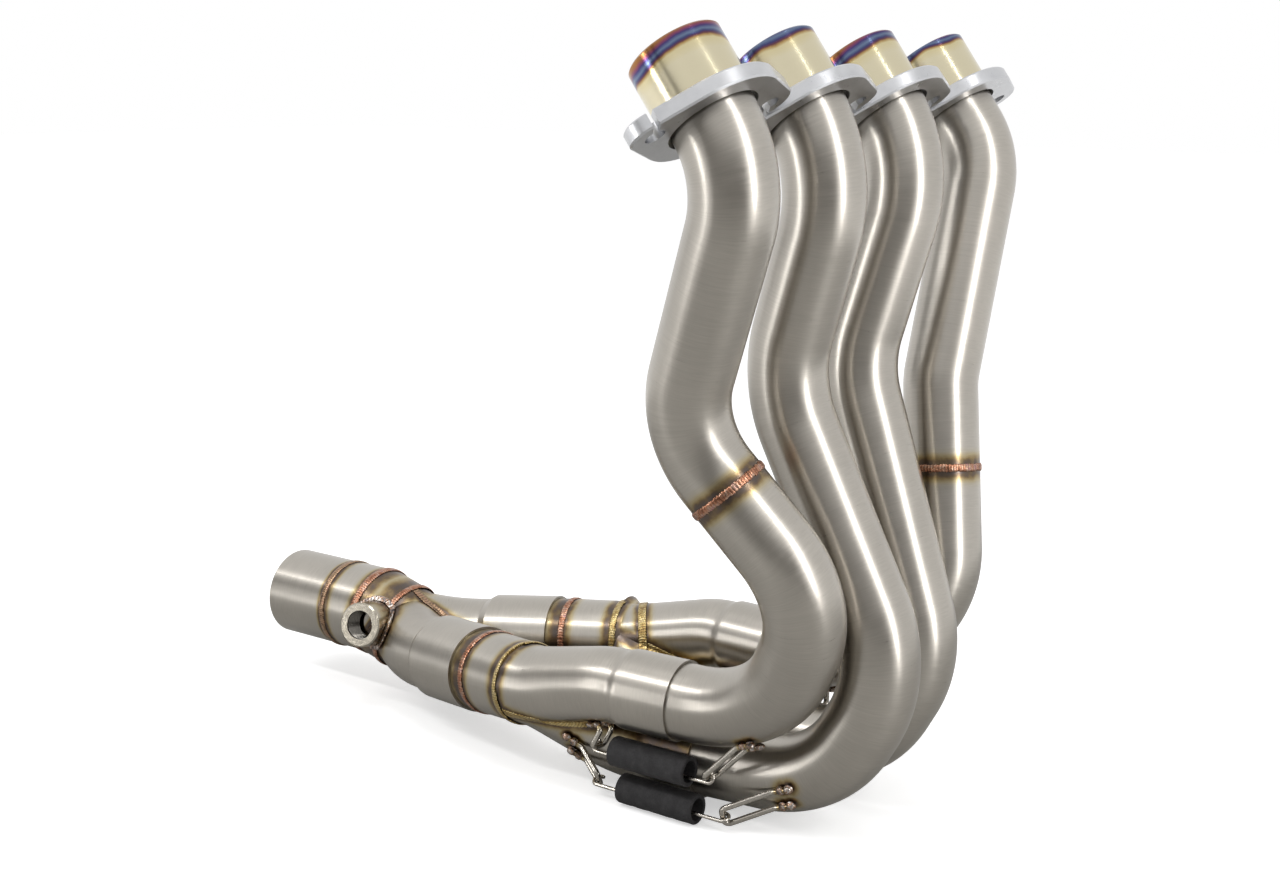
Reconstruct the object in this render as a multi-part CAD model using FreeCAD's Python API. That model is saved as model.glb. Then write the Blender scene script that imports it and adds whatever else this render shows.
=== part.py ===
import FreeCAD, Part
import math
import os
from FreeCAD import Vector

# Four into two into one exhaust header for a motorcycle with an inline four cylinder engine.
# X points to the front of the motorcycle, Y to its left and Z up. The origin is the middle of the row of
# exhaust ports, on the line through the four spigot mouths. Lengths are in millimetres, angles in degrees.
# Pipes are counted from the right side of the motorcycle, so pipe 1 is the nearest in a right side view.

# Cylinder head
PORT_PITCH = 78.0
PORT_COUNT = 4
PORT_DROP = 54.2

# Tube stock
HEAD_OD = 38.1
LINK_OD = 44.45
FINAL_LEG_OD = 42.0
OUTLET_OD = 50.8
WALL = 1.2
SLIP_CLEARANCE = 0.15

# Port spigots
SPIGOT_WALL = 2.2
SPIGOT_LENGTH = 27.0
SPIGOT_SEAT = 15.0
SPIGOT_CHAMFER = 0.8
SEAT_CLEARANCE = 0.05

# Port flanges
FLANGE_THICKNESS = 7.0
FLANGE_PLAY = 1.85
FLANGE_BODY = 62.0
FLANGE_LUG = 22.0
FLANGE_EDGE = 0.8
FLANGE_TURN = 20.0
FLANGE_GAP = 0.3
STUD_PITCH = 62.0
STUD_HOLE = 9.2
SLOT_WIDTH = 3.0
SLOT_TURN = 115.0

# Welds
WELD_ROOT = 1.0
WELD_WIDTH = 5.0
WELD_RISE = 0.8
WELD_CLEARANCE = 0.04
WELD_CROWN = 0.5

# Head pipes: straight run from the spigot mouth, two free bend corners, then a corner on the line of the
# socket, whose X is given, and the bend radii of all four
PORT_RUN = 60.9
HEAD_CORNERS = [
    [(-12.0, -92.0, -163.5), (50.5, -71.0, -239.0)],
    [(2.0, -27.0, -150.0), (67.5, -25.4, -282.0)],
    [(11.0, 29.7, -148.0), (60.0, 23.5, -289.0)],
    [(33.5, 82.0, -161.0), (52.0, 62.5, -285.0)],
]
LAST_CORNER_X = [13.0, 31.5, 29.0, -21.0]
HEAD_RADII = [
    [47.0, 48.0, 51.0, 66.0],
    [65.0, 62.0, 64.0, 60.0],
    [65.0, 62.0, 56.0, 56.0],
    [47.0, 48.0, 51.0, 60.0],
]
WELD_SHARE = 0.36

# Two into one collectors, given for the near side and mirrored for the far side. A socket's line runs
# from a point in front of it to the bend of its leg.
SOCKET_FRONTS = [(13.0, -45.0, -312.0), (31.5, -24.0, -346.0)]
LEG_BENDS = [(-78.6, -50.0, -311.5), (-87.5, -25.0, -352.0)]
LEG_RADIUS = 50.0
SOCKET_MOUTH = -35.6
SOCKET_DEPTH = 29.4
SWAGE_LENGTH = 5.0
MERGE_POINT = (-137.0, -44.5, -325.5)
LINK_DIRECTION = (-0.961, 0.257, -0.094)
CONE_OD = 43.2
CONE_LENGTH = 31.0
PIE_LENGTH = 13.0
PIE_TILT = 16.0
LINK_REACH = 9.5

# Final collector
FINAL_SOCKET_DEPTH = 39.0
FINAL_SOCKET_REACH = 64.6
FINAL_RADIUS = 60.0
FINAL_MERGE = (-266.0, 0.0, -331.0)
MITRE_POINT = (-285.5, 0.0, -325.5)
OUTLET_WELD = -309.5
OUTLET_END = -354.0
BEVEL_DEPTH = 0.4
BEVEL_MARGIN = 0.6

# Merges: short flare behind the ring weld, and the funnel that keeps the legs inside the ring
FLARE_LENGTH = 22.0
FLARE_SHARE = 0.74
FUNNEL_LENGTH = 16.0
FUNNEL_SLOPE = 60.0

# Oxygen sensor bung
BUNG_OD = 25.6
BUNG_BORE = 16.6
BUNG_LENGTH = 16.0
BUNG_STATION = 7.0
BUNG_DIRECTION = (0.20, -0.95, 0.22)
BUNG_BEAD = 3.0
BUNG_BEAD_RISE = 2.0

# Spring hooks, springs and sleeves, for the outer and the inner slip joint of a pair
HOOK_WIRE = 3.0
HOOK_HALF = 5.0
HOOK_FOOT = 9.0
HOOK_BEND = 2.6
HOOK_CLEARANCE = 0.15
SPRING_LINES = [(-56.5, -343.5), (-52.0, -364.5)]
SPRING_FRONT = [-15.0, -9.0]
SPRING_REAR = [-82.0, -84.0]
HOOK_AHEAD = [30.0, 18.0, 19.0, 21.0]
HOOK_BEHIND = [6.0, 19.0]
SPRING_WIRE = 2.0
SPRING_OD = 10.6
SPRING_SPAN = 36.0
SPRING_PLAY = 0.3
END_SINK = 0.3
SLEEVE_LENGTH = 45.0
SLEEVE_WALL = 2.2
SLEEVE_CLEARANCE = 0.3
SLEEVE_EDGE = 0.6

SPACE = 400.0


def unit(v):
    """A vector of length one along v."""
    return Vector(v).normalize()


def cylinder(start, end, radius):
    """A round bar between two points."""
    return Part.makeCylinder(radius, (end - start).Length, start, end - start)


def cone(start, end, first, last):
    """A tapered round bar between two points."""
    return Part.makeCone(first, last, (end - start).Length, start, end - start)


def beyond(point, normal):
    """Everything on the side of a plane that its normal points to."""
    return Part.makeCylinder(SPACE, SPACE, point, normal)


def layer(point, normal, thickness):
    """Everything within half a thickness of a plane."""
    return Part.makeCylinder(SPACE, thickness, point - unit(normal) * thickness / 2, normal)


def fused(solids):
    """Several touching or overlapping solids as one."""
    return solids[0].multiFuse(solids[1:])


def largest(shape):
    """The main solid of a cut."""
    return max(shape.Solids, key=lambda solid: solid.Volume)


def mirrored(shape):
    """The same shape on the other side of the middle plane."""
    return shape.mirror(Vector(), Vector(0, 1, 0))


def disc(point, normal, radius):
    """A round face."""
    return Part.Face(Part.Wire(Part.makeCircle(radius, point, normal)))


def carried(profile, points, radii):
    """A flat profile carried along straights and tangent bends through corner points."""
    pieces = []
    at = points[0]
    for before, corner, after, radius in zip(points, points[1:], points[2:], radii):
        into = unit(corner - before)
        out = unit(after - corner)
        turn = into.getAngle(out)
        axis = unit(into.cross(out))
        start = corner - into * radius * math.tan(turn / 2)
        centre = start + axis.cross(into) * radius
        pieces.append(profile.extrude(start - at))
        profile.translate(start - at)
        pieces.append(profile.revolve(centre, axis, math.degrees(turn)))
        profile.rotate(centre, axis, math.degrees(turn))
        at = corner + out * radius * math.tan(turn / 2)
    pieces.append(profile.extrude(points[-1] - at))
    return fused(pieces) if len(pieces) > 1 else pieces[0]


def rod(points, radii, radius):
    """A solid round bar along a route."""
    return carried(disc(points[0], points[1] - points[0], radius), points, radii)


def tube(points, radii, radius):
    """A hollow tube along a route."""
    way = points[1] - points[0]
    ring = disc(points[0], way, radius).cut(disc(points[0], way, radius - WALL))
    return carried(ring.Faces[0], points, radii)


def turned(profile, point, axis):
    """A ring turned from a closed outline in X and Z, stood on a point along an axis."""
    ring = Part.Face(profile).revolve(Vector(), Vector(0, 0, 1), 360)
    ring.Placement = FreeCAD.Placement(point, FreeCAD.Rotation(Vector(0, 0, 1), axis))
    return ring


def bead(point, axis, radius, root):
    """A ring weld: a bevelled crown round the joint on a root that fills the gap between two tube ends."""
    low = radius + WELD_CLEARANCE
    top = radius + WELD_RISE
    edge = WELD_WIDTH / 2
    half = WELD_ROOT / 2
    outline = [(root, -half), (low, -half), (low, -edge), (top, -edge * WELD_CROWN), (top, edge * WELD_CROWN),
               (low, edge), (low, half), (root, half), (root, -half)]
    return turned(Part.makePolygon([Vector(r, 0, z) for r, z in outline]), point, axis)


def seam(skins, point, normal):
    """A ribbon weld along the plane where two tubes meet; skins holds their outline grown by key."""
    band = skins[WELD_RISE].common(layer(point, normal, WELD_WIDTH)).cut(skins[WELD_CLEARANCE])
    root = skins[WELD_CLEARANCE].common(layer(point, normal, WELD_ROOT)).cut(skins[-WALL])
    return band.fuse(root)


GROWTHS = (0, -WALL, WELD_CLEARANCE, WELD_RISE)
PORT_AXIS = Vector(math.cos(math.radians(PORT_DROP)), 0, -math.sin(math.radians(PORT_DROP)))
PORTS = [Vector(0, (k - (PORT_COUNT - 1) / 2) * PORT_PITCH, 0) for k in range(PORT_COUNT)]
REAR = Vector(-1, 0, 0)
HEAD_R = HEAD_OD / 2
SOCKET_R = HEAD_R + SLIP_CLEARANCE + WALL
CONE_R = CONE_OD / 2
LINK_R = LINK_OD / 2
FINAL_SOCKET_R = LINK_R + SLIP_CLEARANCE + WALL
FINAL_LEG_R = FINAL_LEG_OD / 2
OUTLET_R = OUTLET_OD / 2
LINK_AXIS = unit(Vector(*LINK_DIRECTION))
MERGE = Vector(*MERGE_POINT)
LINK_START = MERGE + LINK_AXIS * CONE_LENGTH
LINK_MOUTH = LINK_START + LINK_AXIS * LINK_REACH
FINAL = Vector(*FINAL_MERGE)
MITRE = Vector(*MITRE_POINT)
WEDGE_AXIS = unit(MITRE - FINAL)
BISECTOR = unit(WEDGE_AXIS + REAR)
OUTLET = Vector(OUTLET_WELD, 0, MITRE.z)


def sided(k, places):
    """The place listed for head pipe k, or the mirror image of its partner's for the far pipes."""
    near = min(k, PORT_COUNT - 1 - k)
    x, y, z = places[near]
    return Vector(x, y if k == near else -y, z)


def leg_bend(k):
    """Bend corner of the collector leg that takes head pipe k."""
    return sided(k, LEG_BENDS)


def socket_line(k, x):
    """Point at a given X on the middle line of the socket for head pipe k."""
    front = sided(k, SOCKET_FRONTS)
    way = leg_bend(k) - front
    return front + way * ((x - front.x) / way.x)


def socket_mouth(k):
    """Mouth of the socket for head pipe k."""
    return socket_line(k, SOCKET_MOUTH)


def head_corners(k):
    """Bend corners of head pipe k after its port run."""
    return [Vector(*corner) for corner in HEAD_CORNERS[k]] + [socket_line(k, LAST_CORNER_X[k])]


# Port spigots and flanges
def port_spigot(k):
    """Turned ring that enters the port, with a counterbore in which the pipe's end seats."""
    bore = HEAD_R - WALL
    outer = HEAD_R + SPIGOT_WALL
    step = SPIGOT_LENGTH - SPIGOT_SEAT
    seat = HEAD_R + SEAT_CLEARANCE
    outline = [(bore, 0), (outer - SPIGOT_CHAMFER, 0), (outer, SPIGOT_CHAMFER), (outer, SPIGOT_LENGTH),
               (seat, SPIGOT_LENGTH), (seat, step), (bore, step), (bore, 0)]
    return turned(Part.makePolygon([Vector(r, 0, z) for r, z in outline]), PORTS[k], PORT_AXIS)


def port_flange(k):
    """Loose lens shaped plate with two lugs, whose stud holes break out through the side of each lug."""
    body = FLANGE_BODY / 2
    lug = FLANGE_LUG / 2
    reach = STUD_PITCH / 2
    lean = math.asin((body - lug) / reach)
    hip = Vector(body * math.sin(lean), body * math.cos(lean), 0)
    tip = Vector(reach + lug * math.sin(lean), lug * math.cos(lean), 0)
    edges = []
    for side in (1, -1):
        hip_in, tip_in, nose, tip_out, hip_out, crest, hip_far = [
            Vector(side * x, side * y, 0) for x, y in
            ((hip.x, hip.y), (tip.x, tip.y), (reach + lug, 0), (tip.x, -tip.y), (hip.x, -hip.y),
             (0, -body), (-hip.x, -hip.y))]
        edges.append(Part.makeLine(hip_in, tip_in))
        edges.append(Part.Arc(tip_in, nose, tip_out).toShape())
        edges.append(Part.makeLine(tip_out, hip_out))
        edges.append(Part.Arc(hip_out, crest, hip_far).toShape())
    plate = Part.Face(Part.Wire(edges)).extrude(Vector(0, 0, FLANGE_THICKNESS))
    plate = plate.makeChamfer(FLANGE_EDGE, [e for e in plate.Edges if e.BoundBox.ZLength < 0.01])
    tall = Vector(0, 0, FLANGE_THICKNESS)
    plate = plate.cut(cylinder(Vector(), tall, HEAD_R + FLANGE_PLAY))
    for side in (1, -1):
        stud = Vector(side * reach, 0, 0)
        slot = Part.makeBox(FLANGE_BODY, SLOT_WIDTH, FLANGE_THICKNESS, Vector(0, -SLOT_WIDTH / 2, 0))
        slot.rotate(Vector(), Vector(0, 0, 1), SLOT_TURN + 90 * (1 + side))
        slot.translate(stud)
        plate = plate.cut(cylinder(stud, stud + tall, STUD_HOLE / 2).fuse(slot))
    row = FreeCAD.Rotation(PORT_AXIS, FLANGE_TURN).multVec(Vector(0, 1, 0))
    frame = FreeCAD.Rotation(row, PORT_AXIS.cross(row), PORT_AXIS, "ZXY")
    plate.Placement = FreeCAD.Placement(PORTS[k] + PORT_AXIS * (SPIGOT_LENGTH + FLANGE_GAP), frame)
    return plate


# Head pipes
def head_route(k):
    """Head pipe k from its seat in the spigot to its end inside the collector socket."""
    seat = PORTS[k] + PORT_AXIS * (SPIGOT_LENGTH - SPIGOT_SEAT)
    inside = socket_mouth(k) + unit(leg_bend(k) - socket_mouth(k)) * SOCKET_DEPTH
    return [seat, PORTS[k] + PORT_AXIS * PORT_RUN] + head_corners(k) + [inside]


def weld_place(k):
    """Point and direction of the butt weld of head pipe k, on the straight after its second bend."""
    start, end = head_corners(k)[:2]
    return start + (end - start) * WELD_SHARE, unit(end - start)


def head_pipe(k):
    """A head pipe in one length."""
    return tube(head_route(k), HEAD_RADII[k], HEAD_R)


def head_halves(k):
    """A head pipe in two lengths with a gap for the root of their weld."""
    point, way = weld_place(k)
    whole = head_pipe(k)
    upper = whole.cut(beyond(point - way * WELD_ROOT / 2, way))
    lower = whole.cut(beyond(point + way * WELD_ROOT / 2, -way))
    return largest(upper), largest(lower)


# Collectors
def leg(route, bend, wide, narrow, depth):
    """Outline of a collector leg: socket, swage and bent tube along mouth, corner and end."""
    mouth, corner, end = route
    way = unit(corner - mouth)
    step = mouth + way * depth
    neck = step + way * SWAGE_LENGTH
    return fused([cylinder(mouth, step, wide), cone(step, neck, wide, narrow),
                  rod([neck, corner, end], [bend], narrow)])


def merged(legs, ring, axis, radius, grow):
    """Outlines of two legs, flared and drawn in to the ring where they are welded to the next piece."""
    flare = cone(ring - axis * FLARE_LENGTH, ring, radius * FLARE_SHARE + grow, radius + grow)
    slope = math.radians(FUNNEL_SLOPE)
    neck = radius + grow / math.cos(slope)
    back = ring - axis * FUNNEL_LENGTH
    funnel = cone(back, ring, neck + FUNNEL_LENGTH * math.tan(slope), neck)
    outside = cylinder(back, ring + axis * SPACE / 4, SPACE / 4).cut(funnel)
    return [solid.fuse(flare).cut(outside) for solid in legs]


def halves(solids, hollow, point, normal, clear):
    """Legs cut back to their own side of the seam plane past the clear plane, and hollowed."""
    way = unit(normal) * WELD_ROOT / 2
    zone = beyond(clear, REAR)
    upper = solids[0].cut(beyond(point + way, -normal).common(zone)).cut(hollow)
    lower = solids[1].cut(beyond(point - way, normal).common(zone)).cut(hollow)
    return largest(upper), largest(lower)


def pair_legs(grow):
    """Outlines of the two legs of the near collector."""
    legs = []
    for k in (0, 1):
        end = MERGE + unit(MERGE - leg_bend(k)) * HEAD_OD
        legs.append(leg([socket_mouth(k), leg_bend(k), end], LEG_RADIUS, SOCKET_R + grow, HEAD_R + grow,
                        SOCKET_DEPTH))
    return merged(legs, MERGE, LINK_AXIS, CONE_R, grow)


def pair_collector(both, skins, pie):
    """Pieces of the near two into one collector; pie adds a mitred segment before the cone."""
    first, second = [unit(leg_bend(k) - MERGE) for k in (0, 1)]
    split = first - second
    clear = leg_bend(0) + unit(socket_mouth(0) - leg_bend(0)) * (SPIGOT_SEAT / 2)
    hollow = skins[-WALL]
    upper, lower = halves(both, hollow, MERGE, split, clear)
    ribbon = seam(skins, MERGE, split).common(beyond(clear, REAR))
    gap = LINK_AXIS * WELD_ROOT / 2
    stop = beyond(MERGE - gap, LINK_AXIS)
    ribbon_stop = beyond(MERGE - LINK_AXIS * WELD_WIDTH / 2, LINK_AXIS)
    pieces = {}
    if pie:
        tilt = FreeCAD.Rotation(Vector(0, 0, 1), -PIE_TILT).multVec(LINK_AXIS)
        cut = MERGE - LINK_AXIS * PIE_LENGTH
        segment = skins[0].cut(beyond(cut + tilt * WELD_ROOT / 2, -tilt)).cut(stop).cut(hollow)
        pieces["pie"] = largest(segment)
        pieces["pie_weld"] = largest(seam(skins, cut, tilt))
        stop = beyond(cut - tilt * WELD_ROOT / 2, tilt)
        ribbon_stop = beyond(cut - tilt * WELD_WIDTH / 2, tilt)
    pieces["leg_upper"] = largest(upper.cut(stop))
    pieces["leg_lower"] = largest(lower.cut(stop))
    pieces["seam_weld"] = largest(ribbon.cut(ribbon_stop))
    shell = cone(MERGE + gap, LINK_START - gap, CONE_R, LINK_R)
    pieces["cone"] = shell.cut(cone(MERGE + gap, LINK_START - gap, CONE_R - WALL, LINK_R - WALL))
    ring = bead(MERGE, LINK_AXIS, CONE_R, HEAD_R - WALL)
    pieces["ring_weld"] = largest(ring.cut(skins[WELD_CLEARANCE].cut(beyond(MERGE - gap, LINK_AXIS))))
    pieces["slip_weld"] = bead(LINK_START, LINK_AXIS, LINK_R, LINK_R - WALL)
    tail = LINK_MOUTH + LINK_AXIS * (FINAL_SOCKET_DEPTH - SWAGE_LENGTH)
    pieces["slip_tube"] = tube([LINK_START + gap, tail], [], LINK_R)
    return pieces


def final_legs(grow):
    """Outlines of the two legs of the final collector."""
    corner = LINK_MOUTH + LINK_AXIS * FINAL_SOCKET_REACH
    end = FINAL + unit(FINAL - corner) * FINAL_LEG_OD
    near = leg([LINK_MOUTH, corner, end], FINAL_RADIUS, FINAL_SOCKET_R + grow, FINAL_LEG_R + grow,
               FINAL_SOCKET_DEPTH)
    return merged([near, mirrored(near)], FINAL, WEDGE_AXIS, OUTLET_R, grow)


def outlet_form(grow):
    """Outline of the outlet from the final merge to the outlet weld, mitred once."""
    radius = OUTLET_R + grow
    wedge = cylinder(FINAL, MITRE + WEDGE_AXIS * OUTLET_R, radius).cut(beyond(MITRE, BISECTOR))
    body = cylinder(MITRE - REAR * OUTLET_R, OUTLET, radius).cut(beyond(MITRE, -BISECTOR))
    return wedge.fuse(body)


def outlet_tube():
    """Plain tube for the link pipe's sleeve, with its welded end bevelled as far as the bead reaches."""
    root = OUTLET + REAR * WELD_ROOT / 2
    clear = OUTLET + REAR * (WELD_WIDTH / 2 + BEVEL_MARGIN)
    end = Vector(OUTLET_END, 0, MITRE.z)
    solid = cone(root, clear, OUTLET_R - BEVEL_DEPTH, OUTLET_R).fuse(cylinder(clear, end, OUTLET_R))
    return solid.cut(cylinder(OUTLET, end, OUTLET_R - WALL))


def final_collector(both, skins, outlet):
    """Pieces of the final two into one collector with the outlet."""
    normal = Vector(0, -1, 0)
    near, far = halves(both, skins[-WALL], FINAL, normal, LINK_MOUTH)
    gap = WELD_ROOT / 2
    stop = beyond(FINAL - WEDGE_AXIS * gap, WEDGE_AXIS)
    ribbon = seam(skins, FINAL, normal).cut(beyond(FINAL - WEDGE_AXIS * WELD_WIDTH / 2, WEDGE_AXIS))
    pipe = outlet[0].cut(outlet[-WALL])
    wedge = pipe.cut(beyond(FINAL + WEDGE_AXIS * gap, -WEDGE_AXIS)).cut(beyond(MITRE - BISECTOR * gap, BISECTOR))
    body = pipe.cut(beyond(MITRE + BISECTOR * gap, -BISECTOR)).cut(beyond(OUTLET - REAR * gap, REAR))
    ring = bead(FINAL, WEDGE_AXIS, OUTLET_R, FINAL_LEG_R - WALL)
    return {
        "leg_near": largest(near.cut(stop)),
        "leg_far": largest(far.cut(stop)),
        "seam_weld": largest(ribbon),
        "legs_weld": largest(ring.cut(skins[WELD_CLEARANCE].cut(stop))),
        "wedge": largest(wedge),
        "wedge_weld": largest(seam(outlet, MITRE, BISECTOR)),
        "body": largest(body),
        "outlet_weld": bead(OUTLET, REAR, OUTLET_R, OUTLET_R - WALL),
        "outlet_tube": outlet_tube(),
    }


def sensor_bung(pieces):
    """Add the oxygen sensor bung and its weld to the final collector, and open the walls under it."""
    way = unit(Vector(*BUNG_DIRECTION))
    foot = FINAL + WEDGE_AXIS * BUNG_STATION
    mouth = foot + way * (OUTLET_R + BUNG_LENGTH)
    outside = cylinder(foot, mouth, BUNG_OD / 2 + WELD_CLEARANCE)
    bore = cylinder(foot, mouth, BUNG_BORE / 2)
    tight, raised = [fused(final_legs(grow) + [outlet_form(grow)]) for grow in (WELD_CLEARANCE, BUNG_BEAD_RISE)]
    body = cylinder(foot, mouth, BUNG_OD / 2)
    body = body.makeChamfer(SPIGOT_CHAMFER, [e for e in body.Edges if (e.CenterOfMass - mouth).Length < 1])
    lip = cylinder(foot, mouth, BUNG_OD / 2 + BUNG_BEAD).common(raised).cut(tight).cut(outside)
    for name in ("seam_weld", "legs_weld", "wedge_weld"):
        pieces[name] = largest(pieces[name].cut(outside))
        lip = lip.cut(pieces[name])
    for name in ("leg_near", "legs_weld", "wedge", "wedge_weld"):
        pieces[name] = largest(pieces[name].cut(bore))
    pieces["bung"] = largest(body.cut(tight).cut(bore))
    pieces["bung_weld"] = largest(lip)


# Springs
def last_bend(k, distance):
    """Point and direction of head pipe k, a distance along its centre line before its last straight."""
    before, corner = head_corners(k)[1:]
    radius = HEAD_RADII[k][3]
    into = unit(corner - before)
    out = unit(leg_bend(k) - corner)
    axis = unit(into.cross(out))
    end = corner + out * radius * math.tan(into.getAngle(out) / 2)
    centre = end + axis.cross(out) * radius
    back = FreeCAD.Rotation(axis, -math.degrees(distance / radius))
    return centre + back.multVec(end - centre), back.multVec(out)


def outward(point, way, eye):
    """Direction from a tube's axis to a spring's eye, square to the tube."""
    toward = eye - point
    return unit(toward - way * toward.dot(way))


def hook(point, way, eye):
    """Bent wire hook: two feet along a tube with the axis point and way, and a bar across the spring's eye."""
    out = outward(point, way, eye)
    across = unit(out.cross(REAR)) * HOOK_HALF
    rest = HEAD_R + HOOK_CLEARANCE + HOOK_WIRE / 2
    aside = (across - way * across.dot(way)).Length
    middle = point + out * math.sqrt(rest ** 2 - aside ** 2)
    heel = middle + way * HOOK_FOOT / 2
    foot = middle - way * HOOK_FOOT / 2
    route = [foot + across, heel + across, eye + across, eye - across, heel - across, foot - across]
    return rod(route, [HOOK_BEND] * 4, HOOK_WIRE / 2)


def spring(front, rear, front_side, rear_side):
    """Tension spring at its fitted length: close wound coil, and at each end a hook round its bar."""
    way = unit(rear - front)
    middle = (front + rear) / 2
    half = way * SPRING_SPAN / 2
    outer = SPRING_OD / 2
    coil = cylinder(middle - half, middle + half, outer).cut(
        cylinder(middle - half, middle + half, outer - SPRING_WIRE))
    grip = (HOOK_WIRE + SPRING_WIRE) / 2 + SPRING_PLAY
    solids = [coil]
    for eye, out, side in ((front, -way, front_side), (rear, way, rear_side)):
        side = unit(side - way * side.dot(way))
        end = middle + out * (SPRING_SPAN / 2 - SPRING_WIRE * END_SINK)
        route = [end - side * (outer - SPRING_WIRE / 2), end + side * grip,
                 eye + side * grip + out * grip, eye - side * grip + out * grip,
                 eye - side * grip - out * grip / 2]
        solids.append(rod(route, [SPRING_WIRE, 0.96 * grip, 0.96 * grip], SPRING_WIRE / 2))
    return fused(solids)


def sleeve(front, rear):
    """Rubber sleeve over a spring's coil."""
    half = unit(rear - front) * SLEEVE_LENGTH / 2
    middle = (front + rear) / 2
    inner = SPRING_OD / 2 + SLEEVE_CLEARANCE
    body = cylinder(middle - half, middle + half, inner + SLEEVE_WALL)
    body = body.makeChamfer(SLEEVE_EDGE, [e for e in body.Edges if e.Closed])
    return body.cut(cylinder(middle - half, middle + half, inner))


def spring_set(k):
    """Both hooks, the spring and the sleeve of the slip joint of head pipe k."""
    near = min(k, PORT_COUNT - 1 - k)
    front, rear = [sided(k, [(x[n],) + SPRING_LINES[n] for n in (0, 1)]) for x in (SPRING_FRONT, SPRING_REAR)]
    ahead, ahead_way = last_bend(k, HOOK_AHEAD[k])
    behind_way = unit(leg_bend(k) - sided(k, [MERGE_POINT, MERGE_POINT]))
    behind = leg_bend(k) - behind_way * HOOK_BEHIND[near]
    return {
        "head_hook": hook(ahead, ahead_way, front),
        "leg_hook": hook(behind, behind_way, rear),
        "spring": spring(front, rear, outward(ahead, ahead_way, front), outward(behind, behind_way, rear)),
        "sleeve": sleeve(front, rear),
    }


def save(name, shape):
    """Write one piece."""
    shape.exportStep("parts/" + name + ".step")


os.makedirs("parts", exist_ok=True)
for k in range(PORT_COUNT):
    save("port_spigot_%d" % (k + 1), port_spigot(k))
    save("port_flange_%d" % (k + 1), port_flange(k))
for k in (0, 3):
    upper, lower = head_halves(k)
    point, way = weld_place(k)
    save("head_pipe_%d_upper" % (k + 1), upper)
    save("head_pipe_%d_lower" % (k + 1), lower)
    save("head_pipe_%d_weld" % (k + 1), bead(point, way, HEAD_R, HEAD_R - WALL))
for k in (1, 2):
    save("head_pipe_%d" % (k + 1), head_pipe(k))

pair_forms = {grow: pair_legs(grow) for grow in GROWTHS}
pair_skins = {grow: fused(pair_forms[grow]) for grow in GROWTHS}
for name, shape in pair_collector(pair_forms[0], pair_skins, False).items():
    save("near_collector_" + name, shape)
for name, shape in pair_collector(pair_forms[0], pair_skins, True).items():
    save("far_collector_" + name, mirrored(shape))

final_forms = {grow: final_legs(grow) for grow in GROWTHS}
final_skins = {grow: fused(final_forms[grow]) for grow in GROWTHS}
final_pieces = final_collector(final_forms[0], final_skins, {grow: outlet_form(grow) for grow in GROWTHS})
sensor_bung(final_pieces)
for name, shape in final_pieces.items():
    save("final_collector_" + name, shape)

for k in range(PORT_COUNT):
    for name, shape in spring_set(k).items():
        save("%s_%d" % (name, k + 1), shape)
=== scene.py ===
# %% [markdown]
# # A motorcycle exhaust header
# Four brushed stainless head pipes come down from the cylinder head, join in pairs, and the pairs join in one
# outlet. The solids come from the CAD model, and this lesson gives them their looks: brushed steel, straw and
# blue heat colours, rippled weld beads, bent wire hooks, coil springs and rubber sleeves.

# %% Load the frame
import math

import bmesh
import bpy
import numpy as np
from mathutils import Matrix, Vector


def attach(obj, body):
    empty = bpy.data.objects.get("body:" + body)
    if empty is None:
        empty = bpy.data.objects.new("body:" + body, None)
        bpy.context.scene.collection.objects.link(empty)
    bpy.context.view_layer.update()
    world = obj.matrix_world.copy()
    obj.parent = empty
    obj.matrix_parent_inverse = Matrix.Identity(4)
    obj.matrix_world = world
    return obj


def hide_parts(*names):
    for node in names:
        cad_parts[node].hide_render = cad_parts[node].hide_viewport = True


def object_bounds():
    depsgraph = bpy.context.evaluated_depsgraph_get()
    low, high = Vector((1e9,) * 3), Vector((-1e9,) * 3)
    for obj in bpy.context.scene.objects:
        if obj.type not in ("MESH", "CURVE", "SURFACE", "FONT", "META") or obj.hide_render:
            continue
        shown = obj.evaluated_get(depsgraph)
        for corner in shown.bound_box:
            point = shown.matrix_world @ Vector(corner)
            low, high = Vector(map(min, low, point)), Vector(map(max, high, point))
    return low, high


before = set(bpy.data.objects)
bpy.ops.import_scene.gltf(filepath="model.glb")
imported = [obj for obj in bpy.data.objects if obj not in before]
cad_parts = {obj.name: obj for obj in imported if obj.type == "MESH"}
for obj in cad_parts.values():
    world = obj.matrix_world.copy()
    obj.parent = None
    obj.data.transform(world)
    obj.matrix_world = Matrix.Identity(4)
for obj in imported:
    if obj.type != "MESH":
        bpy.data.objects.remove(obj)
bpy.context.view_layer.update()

# %% [markdown]
# ## Routes
# A bent tube is easiest to think of as a line with a round section. The line has corner points, and a bender
# rounds each corner with one radius. The helpers here do the same, in millimetres, because that is how tube is
# ordered. Only the finished meshes are scaled to metres.

# %% Points and directions
MM = 0.001
SAMPLE = 0.25


def point(*numbers):
    return np.array(numbers, float)


def unit(vector):
    vector = np.asarray(vector, float)
    return vector / np.linalg.norm(vector)


def turned(vector, axis, angle):
    """A vector turned about an axis, in radians."""
    return (vector * math.cos(angle) + np.cross(axis, vector) * math.sin(angle)
            + axis * np.dot(axis, vector) * (1 - math.cos(angle)))


print("routes are sampled every", SAMPLE, "mm")

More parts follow.
